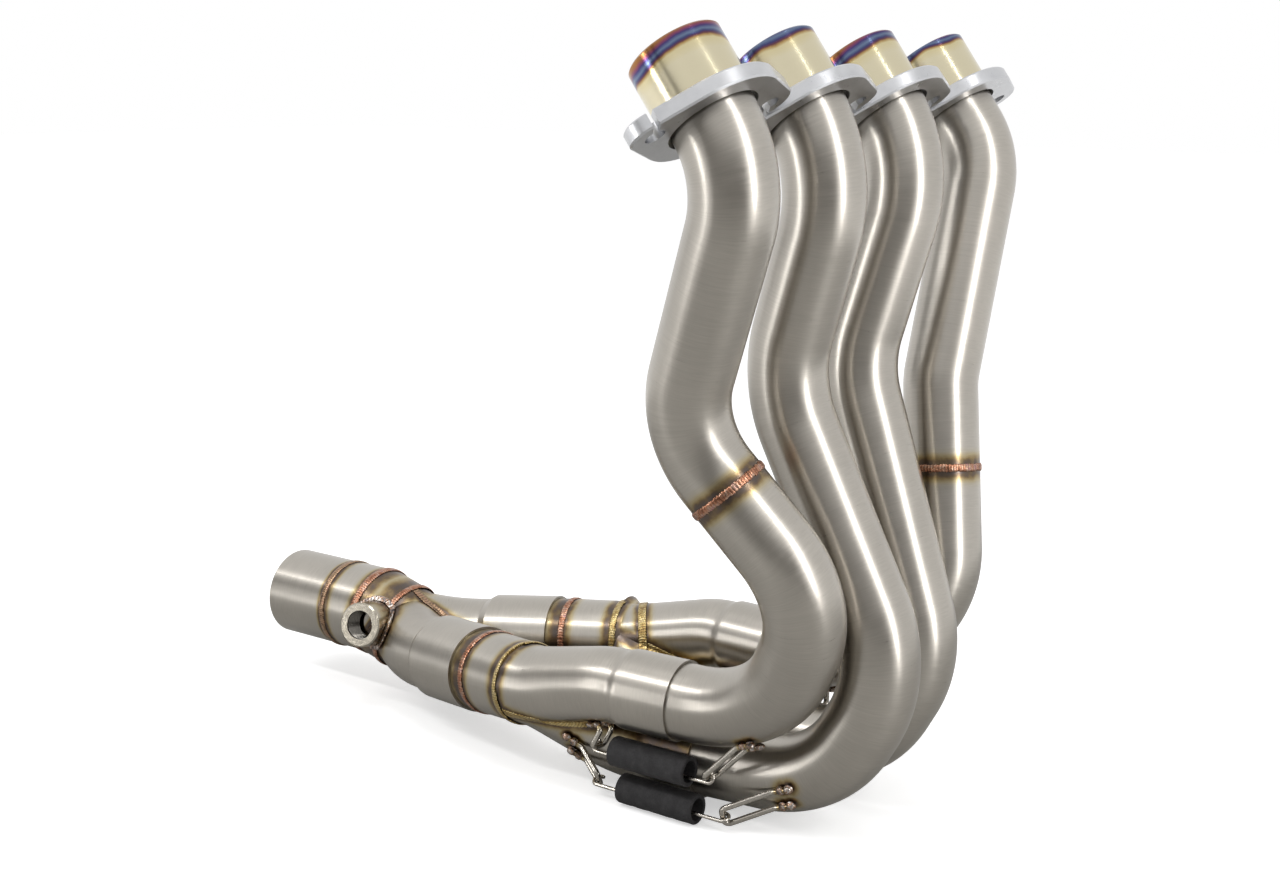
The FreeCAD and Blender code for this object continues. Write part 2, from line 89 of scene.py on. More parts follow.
# %% Bend a route
def bent(points, radii):
    """Places, directions and distances along a route whose corners are rounded, sampled closely."""
    places = []
    ways = []

    def straight(start, end):
        length = np.linalg.norm(end - start)
        for share in np.arange(0, length, SAMPLE) / length:
            places.append(start + (end - start) * share)
            ways.append(unit(end - start))

    at = points[0]
    for before, corner, after, radius in zip(points, points[1:], points[2:], radii):
        into = unit(corner - before)
        out = unit(after - corner)
        turn = math.acos(np.dot(into, out))
        axis = unit(np.cross(into, out))
        start = corner - into * radius * math.tan(turn / 2)
        centre = start + np.cross(axis, into) * radius
        straight(at, start)
        for angle in np.arange(0, turn, SAMPLE / radius):
            places.append(centre + turned(start - centre, axis, angle))
            ways.append(turned(into, axis, angle))
        at = corner + out * radius * math.tan(turn / 2)
    straight(at, points[-1])
    places.append(points[-1])
    ways.append(ways[-1])
    places = np.array(places)
    steps = np.linalg.norm(np.diff(places, axis=0), axis=1)
    return places, np.array(ways), np.concatenate([[0], np.cumsum(steps)])


def along(route, distances):
    """Places and directions at given distances along a route."""
    places, ways, lengths = route
    there = np.stack([np.interp(distances, lengths, places[:, i]) for i in range(3)], 1)
    heading = np.stack([np.interp(distances, lengths, ways[:, i]) for i in range(3)], 1)
    return there, heading / np.linalg.norm(heading, axis=1)[:, None]


corner = bent([point(0, 0, 0), point(100, 0, 0), point(100, 100, 0)], [50])
print("two 100 mm runs with a 50 mm bend measure", round(float(corner[2][-1]), 1), "mm")

# %% [markdown]
# ## From rings to a mesh
# Every round piece here is a row of rings: a pipe carries them along its route, a sleeve along a straight line.
# A hollow piece goes out along its outside and back along its inside, so the mesh closes on itself. Each point
# also remembers how far along the pipe it is and which way the pipe runs there. The brushed finish needs both.

# %% Rings carried along a line
OFF_AXIS = point(0.31, 0.52, 0.79)


def rings(places, ways, radii, around, hollow=False):
    """Points, faces and headings of rings along a line; radii may differ from point to point."""
    radii = np.broadcast_to(np.asarray(radii, float).reshape(len(places), -1), (len(places), around))
    angles = np.arange(around) * 2 * math.pi / around
    side = unit(np.cross(ways[0], OFF_AXIS))
    rows = []
    for place, way, radius in zip(places, ways, radii):
        side = unit(side - way * np.dot(side, way))
        other = np.cross(way, side)
        circle = np.outer(np.cos(angles), side) + np.outer(np.sin(angles), other)
        rows.append(place + radius[:, None] * circle)
    count = len(places)
    faces = []
    for row in range(count if hollow else count - 1):
        after = (row + 1) % count
        for i in range(around):
            j = (i + 1) % around
            faces.append((row * around + i, row * around + j, after * around + j, after * around + i))
    if not hollow:
        faces.append(tuple(range(around - 1, -1, -1)))
        faces.append(tuple(range((count - 1) * around, count * around)))
    return np.concatenate(rows), faces, np.repeat(ways, around, 0)


def there_and_back(places, ways, outer, inner):
    """The outside of a hollow piece from end to end, then its inside back again."""
    return (np.concatenate([places, places[::-1]]), np.concatenate([ways, ways[::-1]]),
            np.concatenate([outer, inner[::-1]]))


print("points of two rings of eight:", len(rings(np.eye(3)[:2], np.eye(3)[:2], np.ones(2), 8)[0]))

# %% Pieces from rings
SHARP = math.radians(40)


def linked(name, data):
    """A new object in the scene."""
    made = bpy.data.objects.new(name, data)
    bpy.context.scene.collection.objects.link(made)
    return made


def piece(name, parts, body="header", replaced=(), distances=None):
    """One mesh object from lists of points, faces and headings, riding on a body."""
    points = np.concatenate([part[0] for part in parts]) * MM
    headings = np.concatenate([part[2] for part in parts])
    faces = []
    start = 0
    for part in parts:
        faces.extend(tuple(index + start for index in face) for face in part[1])
        start += len(part[0])
    mesh = bpy.data.meshes.new(name)
    mesh.from_pydata(points.tolist(), [], faces)
    heading = mesh.attributes.new("heading", "FLOAT_VECTOR", "POINT")
    heading.data.foreach_set("vector", headings.astype(np.float32).ravel())
    if distances is not None:
        distance = mesh.attributes.new("distance", "FLOAT", "POINT")
        distance.data.foreach_set("value", (np.asarray(distances) * MM).astype(np.float32))
    mesh.polygons.foreach_set("use_smooth", np.ones(len(faces), bool))
    mesh.set_sharp_from_angle(angle=SHARP)
    made = linked(name, mesh)
    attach(made, body)
    if replaced:
        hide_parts(*replaced)
    return made


print("edges are sharp from", round(math.degrees(SHARP)), "degrees")

# %% [markdown]
# ## Where the pipes run
# These are the same driving sizes as in the CAD source: port pitch, tube diameters, corner points and bend
# radii. Reading them off the meshes would be possible too, but named numbers are exact and say what they are.
# The far pair of pipes goes into a mirror image of the near collector.

# %% Driving sizes
PORT_PITCH = 78.0
PORT_LEAN = math.radians(54.2)
PORT_AXIS = point(math.cos(PORT_LEAN), 0, -math.sin(PORT_LEAN))
PORTS = [point(0, (k - 1.5) * PORT_PITCH, 0) for k in range(4)]
PIPE_R = 19.05
WALL = 1.2
SLIP_CLEARANCE = 0.15
SOCKET_R = PIPE_R + SLIP_CLEARANCE + WALL
PORT_RUN = 60.9
SEAT = 12.0
HEAD_CORNERS = [
    [(-12.0, -92.0, -163.5), (50.5, -71.0, -239.0)],
    [(2.0, -27.0, -150.0), (67.5, -25.4, -282.0)],
    [(11.0, 29.7, -148.0), (60.0, 23.5, -289.0)],
    [(33.5, 82.0, -161.0), (52.0, 62.5, -285.0)],
]
LAST_CORNER_X = [13.0, 31.5, 29.0, -21.0]
HEAD_RADII = [
    [47.0, 48.0, 51.0, 66.0],
    [65.0, 62.0, 64.0, 60.0],
    [65.0, 62.0, 56.0, 56.0],
    [47.0, 48.0, 51.0, 60.0],
]
WELD_SHARE = 0.36
SOCKET_FRONTS = [(13.0, -45.0, -312.0), (31.5, -24.0, -346.0)]
LEG_BENDS = [(-78.6, -50.0, -311.5), (-87.5, -25.0, -352.0)]
SOCKET_MOUTH = -35.6
SOCKET_DEPTH = 29.4
MERGE = point(-137.0, -44.5, -325.5)
LINK_AXIS = unit([-0.961, 0.257, -0.094])
CONE_LENGTH = 31.0
CONE_R = 21.6
PIE_LENGTH = 13.0
PIE_TILT = 16.0
LINK_START = MERGE + LINK_AXIS * CONE_LENGTH
LINK_BARE = 9.5
LINK_MOUTH = LINK_START + LINK_AXIS * LINK_BARE
FINAL_SOCKET_REACH = 64.6
FINAL_CORNER = LINK_MOUTH + LINK_AXIS * FINAL_SOCKET_REACH
FINAL = point(-266.0, 0.0, -331.0)
MITRE = point(-285.5, 0.0, -325.5)
REAR = point(-1, 0, 0)
WEDGE_AXIS = unit(MITRE - FINAL)
BISECTOR = unit(WEDGE_AXIS + REAR)
OUTLET_R = 25.4
OUTLET_WELD = point(-309.5, 0, MITRE[2])
BUNG_WAY = unit([0.20, -0.95, 0.22])
BUNG_ALONG = 7.0
BUNG_FOOT = FINAL + WEDGE_AXIS * BUNG_ALONG
BUNG_LENGTH = 16.0
BUNG_R = 12.8
BUNG_BORE_R = 8.3

print("ports in a row of", PORT_PITCH * (len(PORTS) - 1), "mm")

# %% Routes of the head pipes
def sided(k, places):
    """The listed place for pipe k, mirrored for the far pipes."""
    near = min(k, 3 - k)
    x, y, z = places[near]
    return point(x, y if k == near else -y, z)


def socket_line(k, x):
    front = sided(k, SOCKET_FRONTS)
    way = sided(k, LEG_BENDS) - front
    return front + way * ((x - front[0]) / way[0])


def head_corners(k):
    return [point(*corner) for corner in HEAD_CORNERS[k]] + [socket_line(k, LAST_CORNER_X[k])]


def head_route(k):
    mouth = socket_line(k, SOCKET_MOUTH)
    inside = mouth + unit(sided(k, LEG_BENDS) - mouth) * SOCKET_DEPTH
    start = [PORTS[k] + PORT_AXIS * SEAT, PORTS[k] + PORT_AXIS * PORT_RUN]
    return bent(start + head_corners(k) + [inside], HEAD_RADII[k])


def mirrored(vector):
    return vector * point(1, -1, 1)


def kept(vector):
    return vector


SIDES = [("near", kept, (0, 1)), ("far", mirrored, (3, 2))]
routes = [head_route(k) for k in range(4)]
print("head pipe lengths, mm:", [round(float(route[2][-1])) for route in routes])

# %% [markdown]
# ## Node helpers
# A material is a tree of nodes. It could be wired by hand in the shader editor, but a recipe in code is easier
# to read and to repeat. One small helper adds a node and fills its sockets with values or links, and the others
# use it for arithmetic, noise, ramps and bumps.

# %% Nodes and arithmetic
def put(tree, kind, inputs=None, **settings):
    """Add a node; inputs go by name or number, and are values or other nodes' sockets."""
    node = tree.nodes.new(kind)
    for name, value in settings.items():
        setattr(node, name, value)
    for key, value in (inputs or {}).items():
        if isinstance(value, bpy.types.NodeSocket):
            tree.links.new(value, node.inputs[key])
        else:
            node.inputs[key].default_value = value
    return node


def calc(tree, operation, first, second=0.0):
    return put(tree, "ShaderNodeMath", {0: first, 1: second}, operation=operation).outputs[0]


def vectors(tree, operation, first, second):
    """Arithmetic on vectors; a dot product or a distance comes out as a number."""
    node = put(tree, "ShaderNodeVectorMath", {0: first, 1: second}, operation=operation)
    return node.outputs["Value" if operation in ("DOT_PRODUCT", "DISTANCE") else "Vector"]


print("node helpers: put, calc and vectors")

# %% Noise, ramps and bumps
NOISE_LOW = 0.3
NOISE_HIGH = 0.7


def noise(tree, vector, scale, detail=3.0, roughness=0.55):
    node = put(tree, "ShaderNodeTexNoise",
               {"Vector": vector, "Scale": scale, "Detail": detail, "Roughness": roughness})
    return node.outputs["Fac"]


def spread(tree, value, low, high, start, end, smooth=False):
    """A value taken from one span to another and kept inside it."""
    node = put(tree, "ShaderNodeMapRange", {0: value, 1: low, 2: high, 3: start, 4: end},
               interpolation_type="SMOOTHSTEP" if smooth else "LINEAR")
    return node.outputs[0]


def ramp(tree, value, stops):
    """A colour ramp from (place, colour) stops."""
    node = put(tree, "ShaderNodeValToRGB", {0: value})
    while len(node.color_ramp.elements) < len(stops):
        node.color_ramp.elements.new(0.5)
    for element, (place, colour) in zip(node.color_ramp.elements, stops):
        element.position = place
        element.color = (*colour, 1)
    return node.outputs[0]


def vary(tree, value, start, end):
    """Noise turned into a value between two others. It stays mostly between its low and its high mark."""
    return spread(tree, value, NOISE_LOW, NOISE_HIGH, start, end)


def shaded(tree, colour, shade):
    """A colour multiplied by a shade of grey."""
    grey = put(tree, "ShaderNodeCombineColor", {0: shade, 1: shade, 2: shade}).outputs[0]
    node = put(tree, "ShaderNodeMix", {0: 1.0, 6: colour, 7: grey}, data_type="RGBA", blend_type="MULTIPLY")
    return node.outputs[2]


def bumped(tree, height, strength, depth):
    """Normals bent by a height; the depth is in millimetres."""
    node = put(tree, "ShaderNodeBump", {"Height": height, "Strength": strength, "Distance": depth * MM})
    return node.outputs[0]


def placed(tree):
    """The place of a point on its object."""
    return put(tree, "ShaderNodeTexCoord").outputs["Object"]


print("noise is read between", NOISE_LOW, "and", NOISE_HIGH)

# %% Start and finish a material
def start_material(name, **surface):
    """A new material with one Principled shader, and its tree."""
    material = bpy.data.materials.new(name)
    material.use_nodes = True
    tree = material.node_tree
    shader = tree.nodes["Principled BSDF"]
    for key, value in surface.items():
        shader.inputs[key.replace("_", " ")].default_value = value
    return material, tree, shader


def join(tree, shader, **sockets):
    for key, socket in sockets.items():
        tree.links.new(socket, shader.inputs[key.replace("_", " ")])


def dress(name, material):
    """Give a CAD node a finished material."""
    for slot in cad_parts[name].material_slots:
        slot.material = material


print("CAD nodes that can be dressed:", len(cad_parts))

# %% [markdown]
# ## Heat colours
# Stainless steel that gets hot in air grows a thin oxide film, and its thickness shows as a colour: straw, then
# brown, purple and a dark blue grey next to the weld. On the real header these bands hug every bead. The recipe
# measures how far a point is from each weld, turns that into a heat level, and looks the level up in one ramp.

# %% Heat level and its colours
TEMPER = [
    (0.0, (0.430, 0.403, 0.362)),
    (0.25, (0.428, 0.390, 0.318)),
    (0.52, (0.400, 0.333, 0.205)),
    (0.74, (0.260, 0.190, 0.095)),
    (0.88, (0.150, 0.108, 0.072)),
    (1.0, (0.115, 0.092, 0.080)),
]


def heat_level(tree, place, planes=(), spots=(), lines=()):
    """Heat at a point from the nearest of some planes, points and distances along a pipe."""
    level = None
    found = []
    for centre, normal, core, reach in planes:
        offset = vectors(tree, "DOT_PRODUCT", place, tuple(normal))
        gap = calc(tree, "ABSOLUTE", calc(tree, "SUBTRACT", offset, float(np.dot(centre, normal)) * MM))
        found.append((gap, core, reach))
    for centre, core, reach in spots:
        found.append((vectors(tree, "DISTANCE", place, tuple(np.asarray(centre) * MM)), core, reach))
    for distance, value, core, reach in lines:
        gap = calc(tree, "ABSOLUTE", calc(tree, "SUBTRACT", distance, value * MM))
        found.append((gap, core, reach))
    for gap, core, reach in found:
        near = spread(tree, gap, core * MM, (core + reach) * MM, 1.0, 0.0, smooth=True)
        level = near if level is None else calc(tree, "MAXIMUM", level, near)
    if level is None:
        return None
    patchy = noise(tree, place, 160.0, 4.0)
    return calc(tree, "MULTIPLY", level, vary(tree, patchy, 0.78, 1.12))


print("heat colours:", len(TEMPER))

# %% [markdown]
# ## Brushed stainless steel
# The tubes are finished with an abrasive belt that runs round them, so the scratches are rings. Light spreads
# across scratches, which draws each highlight out along the pipe. Two things make that: an anisotropic
# highlight whose tangent runs along the pipe, and fine noise that is stretched round it and squeezed along it.
# A picture of scratches would need every tube unwrapped, and this needs only a place and a distance. A swept
# pipe carries its own direction and distance, and a CAD solid gets them from its axis, or from two at a corner.

# %% Brushed steel
FINE = 3600.0
COARSE = 1700.0
ROUND_FINE = 170.0
ROUND_COARSE = 120.0


def scratches(tree, place, distance):
    """Noise that changes quickly along a pipe and slowly round it, fine and coarse."""
    marks = []
    for slow, fast in ((ROUND_FINE, FINE), (ROUND_COARSE, COARSE)):
        low = put(tree, "ShaderNodeVectorMath", {0: place, 3: slow}, operation="SCALE").outputs[0]
        high = put(tree, "ShaderNodeCombineXYZ", {0: calc(tree, "MULTIPLY", distance, fast)}).outputs[0]
        marks.append(noise(tree, vectors(tree, "ADD", low, high), 1.0, 2.0))
    return marks


print("fine scratches are", round(1000 / FINE, 2), "mm apart")

# %% The recipe for brushed steel
def pipe_coordinates(tree, axis=None, bend=None):
    """Place on the object, distance along the pipe and the pipe's direction, from attributes or from axes."""
    place = placed(tree)
    if axis is None:
        distance = put(tree, "ShaderNodeAttribute", attribute_name="distance").outputs["Fac"]
        heading = put(tree, "ShaderNodeAttribute", attribute_name="heading").outputs["Vector"]
        return place, distance, heading
    if bend is None:
        distance = vectors(tree, "DOT_PRODUCT", place, tuple(axis))
        heading = put(tree, "ShaderNodeCombineXYZ", {i: float(axis[i]) for i in range(3)}).outputs[0]
        return place, distance, heading
    corner, after = bend
    local = vectors(tree, "SUBTRACT", place, tuple(corner * MM))
    beyond = calc(tree, "GREATER_THAN", vectors(tree, "DOT_PRODUCT", local, tuple(axis + after)), 0.0)
    first = vectors(tree, "DOT_PRODUCT", local, tuple(axis))
    second = vectors(tree, "DOT_PRODUCT", local, tuple(after))
    distance = put(tree, "ShaderNodeMix", {0: beyond, 2: first, 3: second}).outputs[0]
    heading = put(tree, "ShaderNodeMix", {0: beyond, 4: tuple(axis), 5: tuple(after)},
                  data_type="VECTOR").outputs[1]
    return place, distance, heading


BRUSHED = 0.31


def steel(name, axis=None, bend=None, planes=(), spots=(), lines=(), rough=BRUSHED, tone=1.0):
    """Brushed stainless steel with heat colours near its welds."""
    material, tree, shader = start_material(name, Metallic=1.0, Anisotropic=0.6)
    place, distance, heading = pipe_coordinates(tree, axis, bend)
    fine, coarse = scratches(tree, place, distance)
    level = heat_level(tree, place, planes, spots, [(distance, *line) for line in lines])
    colour = ramp(tree, level if level else 0.0, TEMPER)
    cloud = noise(tree, place, 24.0, 3.0)
    streak = calc(tree, "ADD", calc(tree, "MULTIPLY", fine, 0.45), calc(tree, "MULTIPLY", coarse, 0.55))
    shade = calc(tree, "MULTIPLY", vary(tree, streak, 0.92 * tone, 1.08 * tone), vary(tree, cloud, 0.94, 1.05))
    uneven = calc(tree, "ADD", vary(tree, coarse, rough - 0.02, rough + 0.03), vary(tree, fine, -0.02, 0.03))
    join(tree, shader, Base_Color=shaded(tree, colour, shade), Roughness=uneven, Tangent=heading,
         Normal=bumped(tree, streak, 0.03, 0.1))
    return material


print("roughness of brushed steel:", BRUSHED)

# %% [markdown]
# ## Head pipes
# Each head pipe is one tube, except the outer two, which are butt welded halfway down. They are swept here
# rather than taken from the CAD mesh, so that highlights run along them without a ripple and every point knows
# its distance along the pipe. They replace the CAD nodes of the same name and have exactly the same size.

# %% Sweep the head pipes
AROUND = 88
STEP = 2.0
ROOT = 0.5


def weld_distance(k):
    """Distance along head pipe k of its butt weld."""
    start, end = head_corners(k)[:2]
    place = start + (end - start) * WELD_SHARE
    return float(routes[k][2][np.argmin(np.linalg.norm(routes[k][0] - place, axis=1))])


def pipe(name, k, start, end):
    """A length of head pipe k as a hollow tube."""
    spots_along = np.linspace(start, end, max(2, round((end - start) / STEP)) + 1)
    places, ways = along(routes[k], spots_along)
    outer = np.full(len(places), PIPE_R)
    line, headings, radii = there_and_back(places, ways, outer, outer - WALL)
    distances = np.repeat(np.concatenate([spots_along, spots_along[::-1]]), AROUND)
    return piece(name, [rings(line, headings, radii, AROUND, hollow=True)],
                 replaced=[name], distances=distances)


head_pipes = {}
for k in range(4):
    name = "head_pipe_%d" % (k + 1)
    length = routes[k][2][-1]
    if k in (0, 3):
        weld = weld_distance(k)
        head_pipes[k] = [pipe(name + "_upper", k, 0, weld - ROOT),
                         pipe(name + "_lower", k, weld + ROOT, length)]
    else:
        head_pipes[k] = [pipe(name, k, 0, length)]
print("head pipe pieces:", sum(len(made) for made in head_pipes.values()))

# %% [markdown]
# ## Collector legs
# Two bent tubes meet in each collector. The mouth of each is expanded into a socket, and its other end is cut
# along the plane where the tubes meet, then dressed with a hammer until both together fit the round end of the
# next piece. The lesson does the same in the same order: sweep the tube, cut it at the seam, then move each
# point near the joint towards or away from the joint's axis. A soft change between the two shapes takes the
# place of the hard edge that the CAD solid has there.

# %% Fit points to a ring
LEG_RADIUS = 50.0
SWAGE = 5.0
LIP = 3.0
LEG_STEP = 1.5
SEAM_CLEAR_X = -72.6
FLARE_LENGTH = 22.0
FLARE_SHARE = 0.74
DRAW_IN = 1.73
BLEND = 1.4
first, second = [unit(point(*LEG_BENDS[n]) - MERGE) for n in (0, 1)]
SPLIT = unit(first - second)
PIE_AXIS = mirrored(turned(LINK_AXIS, point(0, 0, 1), math.radians(-PIE_TILT)))
PIE_CUT = mirrored(MERGE - LINK_AXIS * PIE_LENGTH)


def cut(form, place, normal, behind=math.inf):
    """Take away what lies beyond a plane, only where X is less than a limit."""
    faces = [face for face in form.faces if max(vertex.co.x for vertex in face.verts) < behind * MM]
    # Keys drop the doubles as a set would, but keep their order, so every run gives the same mesh.
    edges = dict.fromkeys(edge for face in faces for edge in face.edges)
    corners = dict.fromkeys(vertex for face in faces for vertex in face.verts)
    bmesh.ops.bisect_plane(form, geom=[*corners, *edges, *faces], dist=1e-7, plane_co=tuple(place * MM),
                           plane_no=tuple(normal), clear_outer=True)


def soft(first, second, sign):
    """The larger (sign 1) or the smaller (sign -1) of two sizes, with a soft change between them."""
    return (first + second + sign * np.hypot(first - second, BLEND)) / 2


def fitted(points, ring, axis, radius):
    """Points moved square to a joint's axis until they fit its ring."""
    local = points - ring
    before = -(local @ axis)
    off = local + before[:, None] * axis
    size = np.linalg.norm(off, axis=1)
    flare = radius * (1 - (1 - FLARE_SHARE) * before / FLARE_LENGTH)
    wanted = soft(soft(size, flare, 1), radius + DRAW_IN * before, -1)
    return points + off * ((wanted - size) / np.maximum(size, 1e-6))[:, None]


print("the legs are fitted over", FLARE_LENGTH, "mm")

# %% Form the collector legs
def collector_leg(name, k, flip, keep, stop):
    """A leg for head pipe k: keep points to its own side of the seam, and stop is the plane of its end."""
    mouth, corner = socket_line(k, SOCKET_MOUTH), sided(k, LEG_BENDS)
    merge = flip(MERGE)
    route = bent([mouth, corner, merge + unit(merge - corner) * 2 * PIPE_R], [LEG_RADIUS])
    outside = np.linspace(0, route[2][-1], round(route[2][-1] / LEG_STEP) + 1)
    swage = np.clip((outside - SOCKET_DEPTH) / SWAGE, 0, 1)
    sizes = SOCKET_R + (PIPE_R - SOCKET_R) * swage ** 2 * (3 - 2 * swage)
    spots_along = np.concatenate([[LIP, 0], outside])
    sizes = np.concatenate([[SOCKET_R - WALL] * 2, sizes])
    places, ways = along(route, spots_along)
    made = piece(name, [rings(places, ways, sizes, AROUND)], replaced=[name],
                 distances=np.repeat(spots_along, AROUND))
    form = bmesh.new()
    form.from_mesh(made.data)
    bmesh.ops.delete(form, geom=[face for face in form.faces if len(face.verts) > 4], context="FACES")
    cut(form, merge, -keep, SEAM_CLEAR_X)
    moved = fitted(np.array([vertex.co for vertex in form.verts]) / MM, merge, flip(LINK_AXIS), CONE_R) * MM
    for vertex, place in zip(form.verts, moved):
        vertex.co = place
    cut(form, *stop)
    form.to_mesh(made.data)
    form.free()
    made.data.set_sharp_from_angle(angle=SHARP)
    return made


legs = {}
for side, flip, pair in SIDES:
    stop = (PIE_CUT, PIE_AXIS) if side == "far" else (MERGE, LINK_AXIS)
    for k, part, sign in zip(pair, ("upper", "lower"), (1, -1)):
        name = "%s_collector_leg_%s" % (side, part)
        legs[k] = collector_leg(name, k, flip, sign * flip(SPLIT), stop)
print("collector legs, points each:", [len(legs[k].data.vertices) for k in sorted(legs)])

# %% [markdown]
# ## Spring hooks
# Springs pull each slip joint together. They catch on hooks of bent wire, whose two feet lie along the tube and
# are tacked to it. A curve with a bevel would make the wire too. The route and ring helpers are used again
# instead, because they bend it in the same corners as the CAD source. Each tack is a small melted blob.

# %% Sizes of the hooks
HOOK_WIRE = 3.0
HOOK_GAP = 0.15
HOOK_HALF = 5.0
HOOK_FOOT = 9.0
HOOK_BEND = 2.6
SPRING_LINES = [(-56.5, -343.5), (-52.0, -364.5)]
SPRING_FRONT = [-15.0, -9.0]
SPRING_REAR = [-82.0, -84.0]
HOOK_AHEAD = [30.0, 18.0, 19.0, 21.0]
HOOK_BEHIND = [6.0, 19.0]
print("hook wire, mm:", HOOK_WIRE)

# %% Places of the hooks
def last_bend(k, distance):
    """Place and direction on head pipe k, a distance before its last straight."""
    before, corner = head_corners(k)[1:]
    radius = HEAD_RADII[k][3]
    into = unit(corner - before)
    out = unit(sided(k, LEG_BENDS) - corner)
    axis = unit(np.cross(into, out))
    turn = math.acos(np.dot(into, out))
    end = corner + out * radius * math.tan(turn / 2)
    centre = end + np.cross(axis, out) * radius
    return centre + turned(end - centre, axis, -distance / radius), turned(out, axis, -distance / radius)


def outward(place, way, eye):
    toward = eye - place
    return unit(toward - way * np.dot(toward, way))


def hook_lines(place, way, eye):
    """Route of a hook's wire and the places of its four tacks."""
    out = outward(place, way, eye)
    across = unit(np.cross(out, REAR)) * HOOK_HALF
    rest = PIPE_R + HOOK_GAP + HOOK_WIRE / 2
    aside = np.linalg.norm(across - way * np.dot(across, way))
    middle = place + out * math.sqrt(rest ** 2 - aside ** 2)
    heel = middle + way * HOOK_FOOT / 2
    foot = middle - way * HOOK_FOOT / 2
    route = [foot + across, heel + across, eye + across, eye - across, heel - across, foot - across]
    tacks = [spot + side for spot in (foot, middle) for side in (across, -across)]
    return route, tacks, out


hooks = {}
for k in range(4):
    near = min(k, 3 - k)
    front, rear = [sided(k, [(x[n],) + SPRING_LINES[n] for n in (0, 1)]) for x in (SPRING_FRONT, SPRING_REAR)]
    ahead, ahead_way = last_bend(k, HOOK_AHEAD[k])
    behind_way = unit(sided(k, LEG_BENDS) - sided(k, [MERGE, MERGE]))
    behind = sided(k, LEG_BENDS) - behind_way * HOOK_BEHIND[near]
    hooks[k] = {"head": (ahead, ahead_way, front), "leg": (behind, behind_way, rear)}
print("spring lengths between their hooks, mm:",
      [round(float(np.linalg.norm(pair["head"][2] - pair["leg"][2])), 1) for pair in hooks.values()])

# %% Bend the wire and drop the tacks
WIRE_AROUND = 18
WIRE_STEP = 0.8
WIRE_TIP = 0.82
TACK_R = 2.5
TACK_FLAT = 0.72
TACK_RINGS = 9
TACK_AROUND = 14
UNEVEN = 0.10
generator = np.random.default_rng(12)


def wire(points, radii, radius, around=WIRE_AROUND):
    """A round bar along a bent route, with ends slightly rounded."""
    route = bent(points, radii)
    distances = np.linspace(0, route[2][-1], round(route[2][-1] / WIRE_STEP) + 1)
    places, ways = along(route, distances)
    sizes = np.full(len(places), radius)
    sizes[0] = sizes[-1] = radius * WIRE_TIP
    return rings(places, ways, sizes, around)


def blob(centre, up, radius, flatness):
    """A melted tack: a ball, flattened along up and slightly uneven."""
    angles = np.linspace(0.05, math.pi - 0.05, TACK_RINGS)
    places = np.array([centre - up * radius * flatness * math.cos(a) for a in angles])
    uneven = 1 + UNEVEN * generator.standard_normal((TACK_RINGS, 1)) * np.sin(angles)[:, None]
    radii = radius * np.sin(angles)[:, None] * uneven * np.ones((1, TACK_AROUND))
    return rings(places, np.repeat([up], TACK_RINGS, 0), radii, TACK_AROUND)


tack_places = {"head": {}, "leg": {}}
hook_pieces = []
tack_pieces = []
for k in range(4):
    for kind in ("head", "leg"):
        route, tacks, out = hook_lines(*hooks[k][kind])
        tack_places[kind][k] = tacks
        name = "%s_hook_%d" % (kind, k + 1)
        blobs = [blob(tack, out, TACK_R, TACK_FLAT) for tack in tacks]
        bar = piece(name, [wire(route, [HOOK_BEND] * 4, HOOK_WIRE / 2)], replaced=[name])
        hook_pieces.append((bar, tacks))
        tack_pieces.append(piece(name + "_tacks", blobs))
print("hooks:", len(hook_pieces), "with", sum(len(tacks) for bar, tacks in hook_pieces), "tacks")

# %% [markdown]
# ## Springs and sleeves
# A tension spring is a close wound coil whose ends are drawn out into hooks. A rubber sleeve over the coil
# stops it from singing. The coil is a real helix here, seen through the open ends of its sleeve. The sleeve is
# soft tube cut with a knife, so its rims are rounded and its surface is finely wrinkled. A screw modifier could
# wind the coil, but a helix of rings meets the drawn out hooks without a seam to close by hand.

# %% Wind the springs
SPRING_WIRE = 2.0
SPRING_R = 5.3
SPRING_SPAN = 36.0
SPRING_PLAY = 0.3
SPRING_LIFT = 1.06
SPRING_AROUND = 12
COIL_STEPS = 20
COIL_AROUND = 10


def coil(middle, way, side):
    """A close wound helix."""
    other = np.cross(way, side)
    span = SPRING_SPAN - SPRING_WIRE
    pitch = SPRING_WIRE * SPRING_LIFT
    turns = span / pitch
    angles = np.linspace(0, 2 * math.pi * turns, int(turns * COIL_STEPS))
    radius = SPRING_R - SPRING_WIRE / 2
    lift = (angles / (2 * math.pi) * pitch - span / 2)[:, None]
    circle = np.cos(angles)[:, None] * side + np.sin(angles)[:, None] * other
    places = middle + lift * way + radius * circle
    ways = np.gradient(places, axis=0)
    ways /= np.linalg.norm(ways, axis=1)[:, None]
    return rings(places, ways, np.full(len(places), SPRING_WIRE / 2), COIL_AROUND)


def spring_parts(front, rear, front_side, rear_side):
    """Both drawn out hooks of a spring, and its coil."""
    way = unit(rear - front)
    middle = (front + rear) / 2
    grip = (HOOK_WIRE + SPRING_WIRE) / 2 + SPRING_PLAY
    parts = []
    for eye, out, side in ((front, -way, front_side), (rear, way, rear_side)):
        side = unit(side - way * np.dot(side, way))
        end = middle + out * (SPRING_SPAN / 2 - SPRING_WIRE * 0.3)
        route = [end - side * (SPRING_R - SPRING_WIRE / 2), end + side * grip,
                 eye + side * grip + out * grip, eye - side * grip + out * grip,
                 eye - side * grip - out * grip / 2]
        parts.append(wire(route, [SPRING_WIRE, 0.96 * grip, 0.96 * grip], SPRING_WIRE / 2, SPRING_AROUND))
    parts.append(coil(middle, way, side))
    return parts


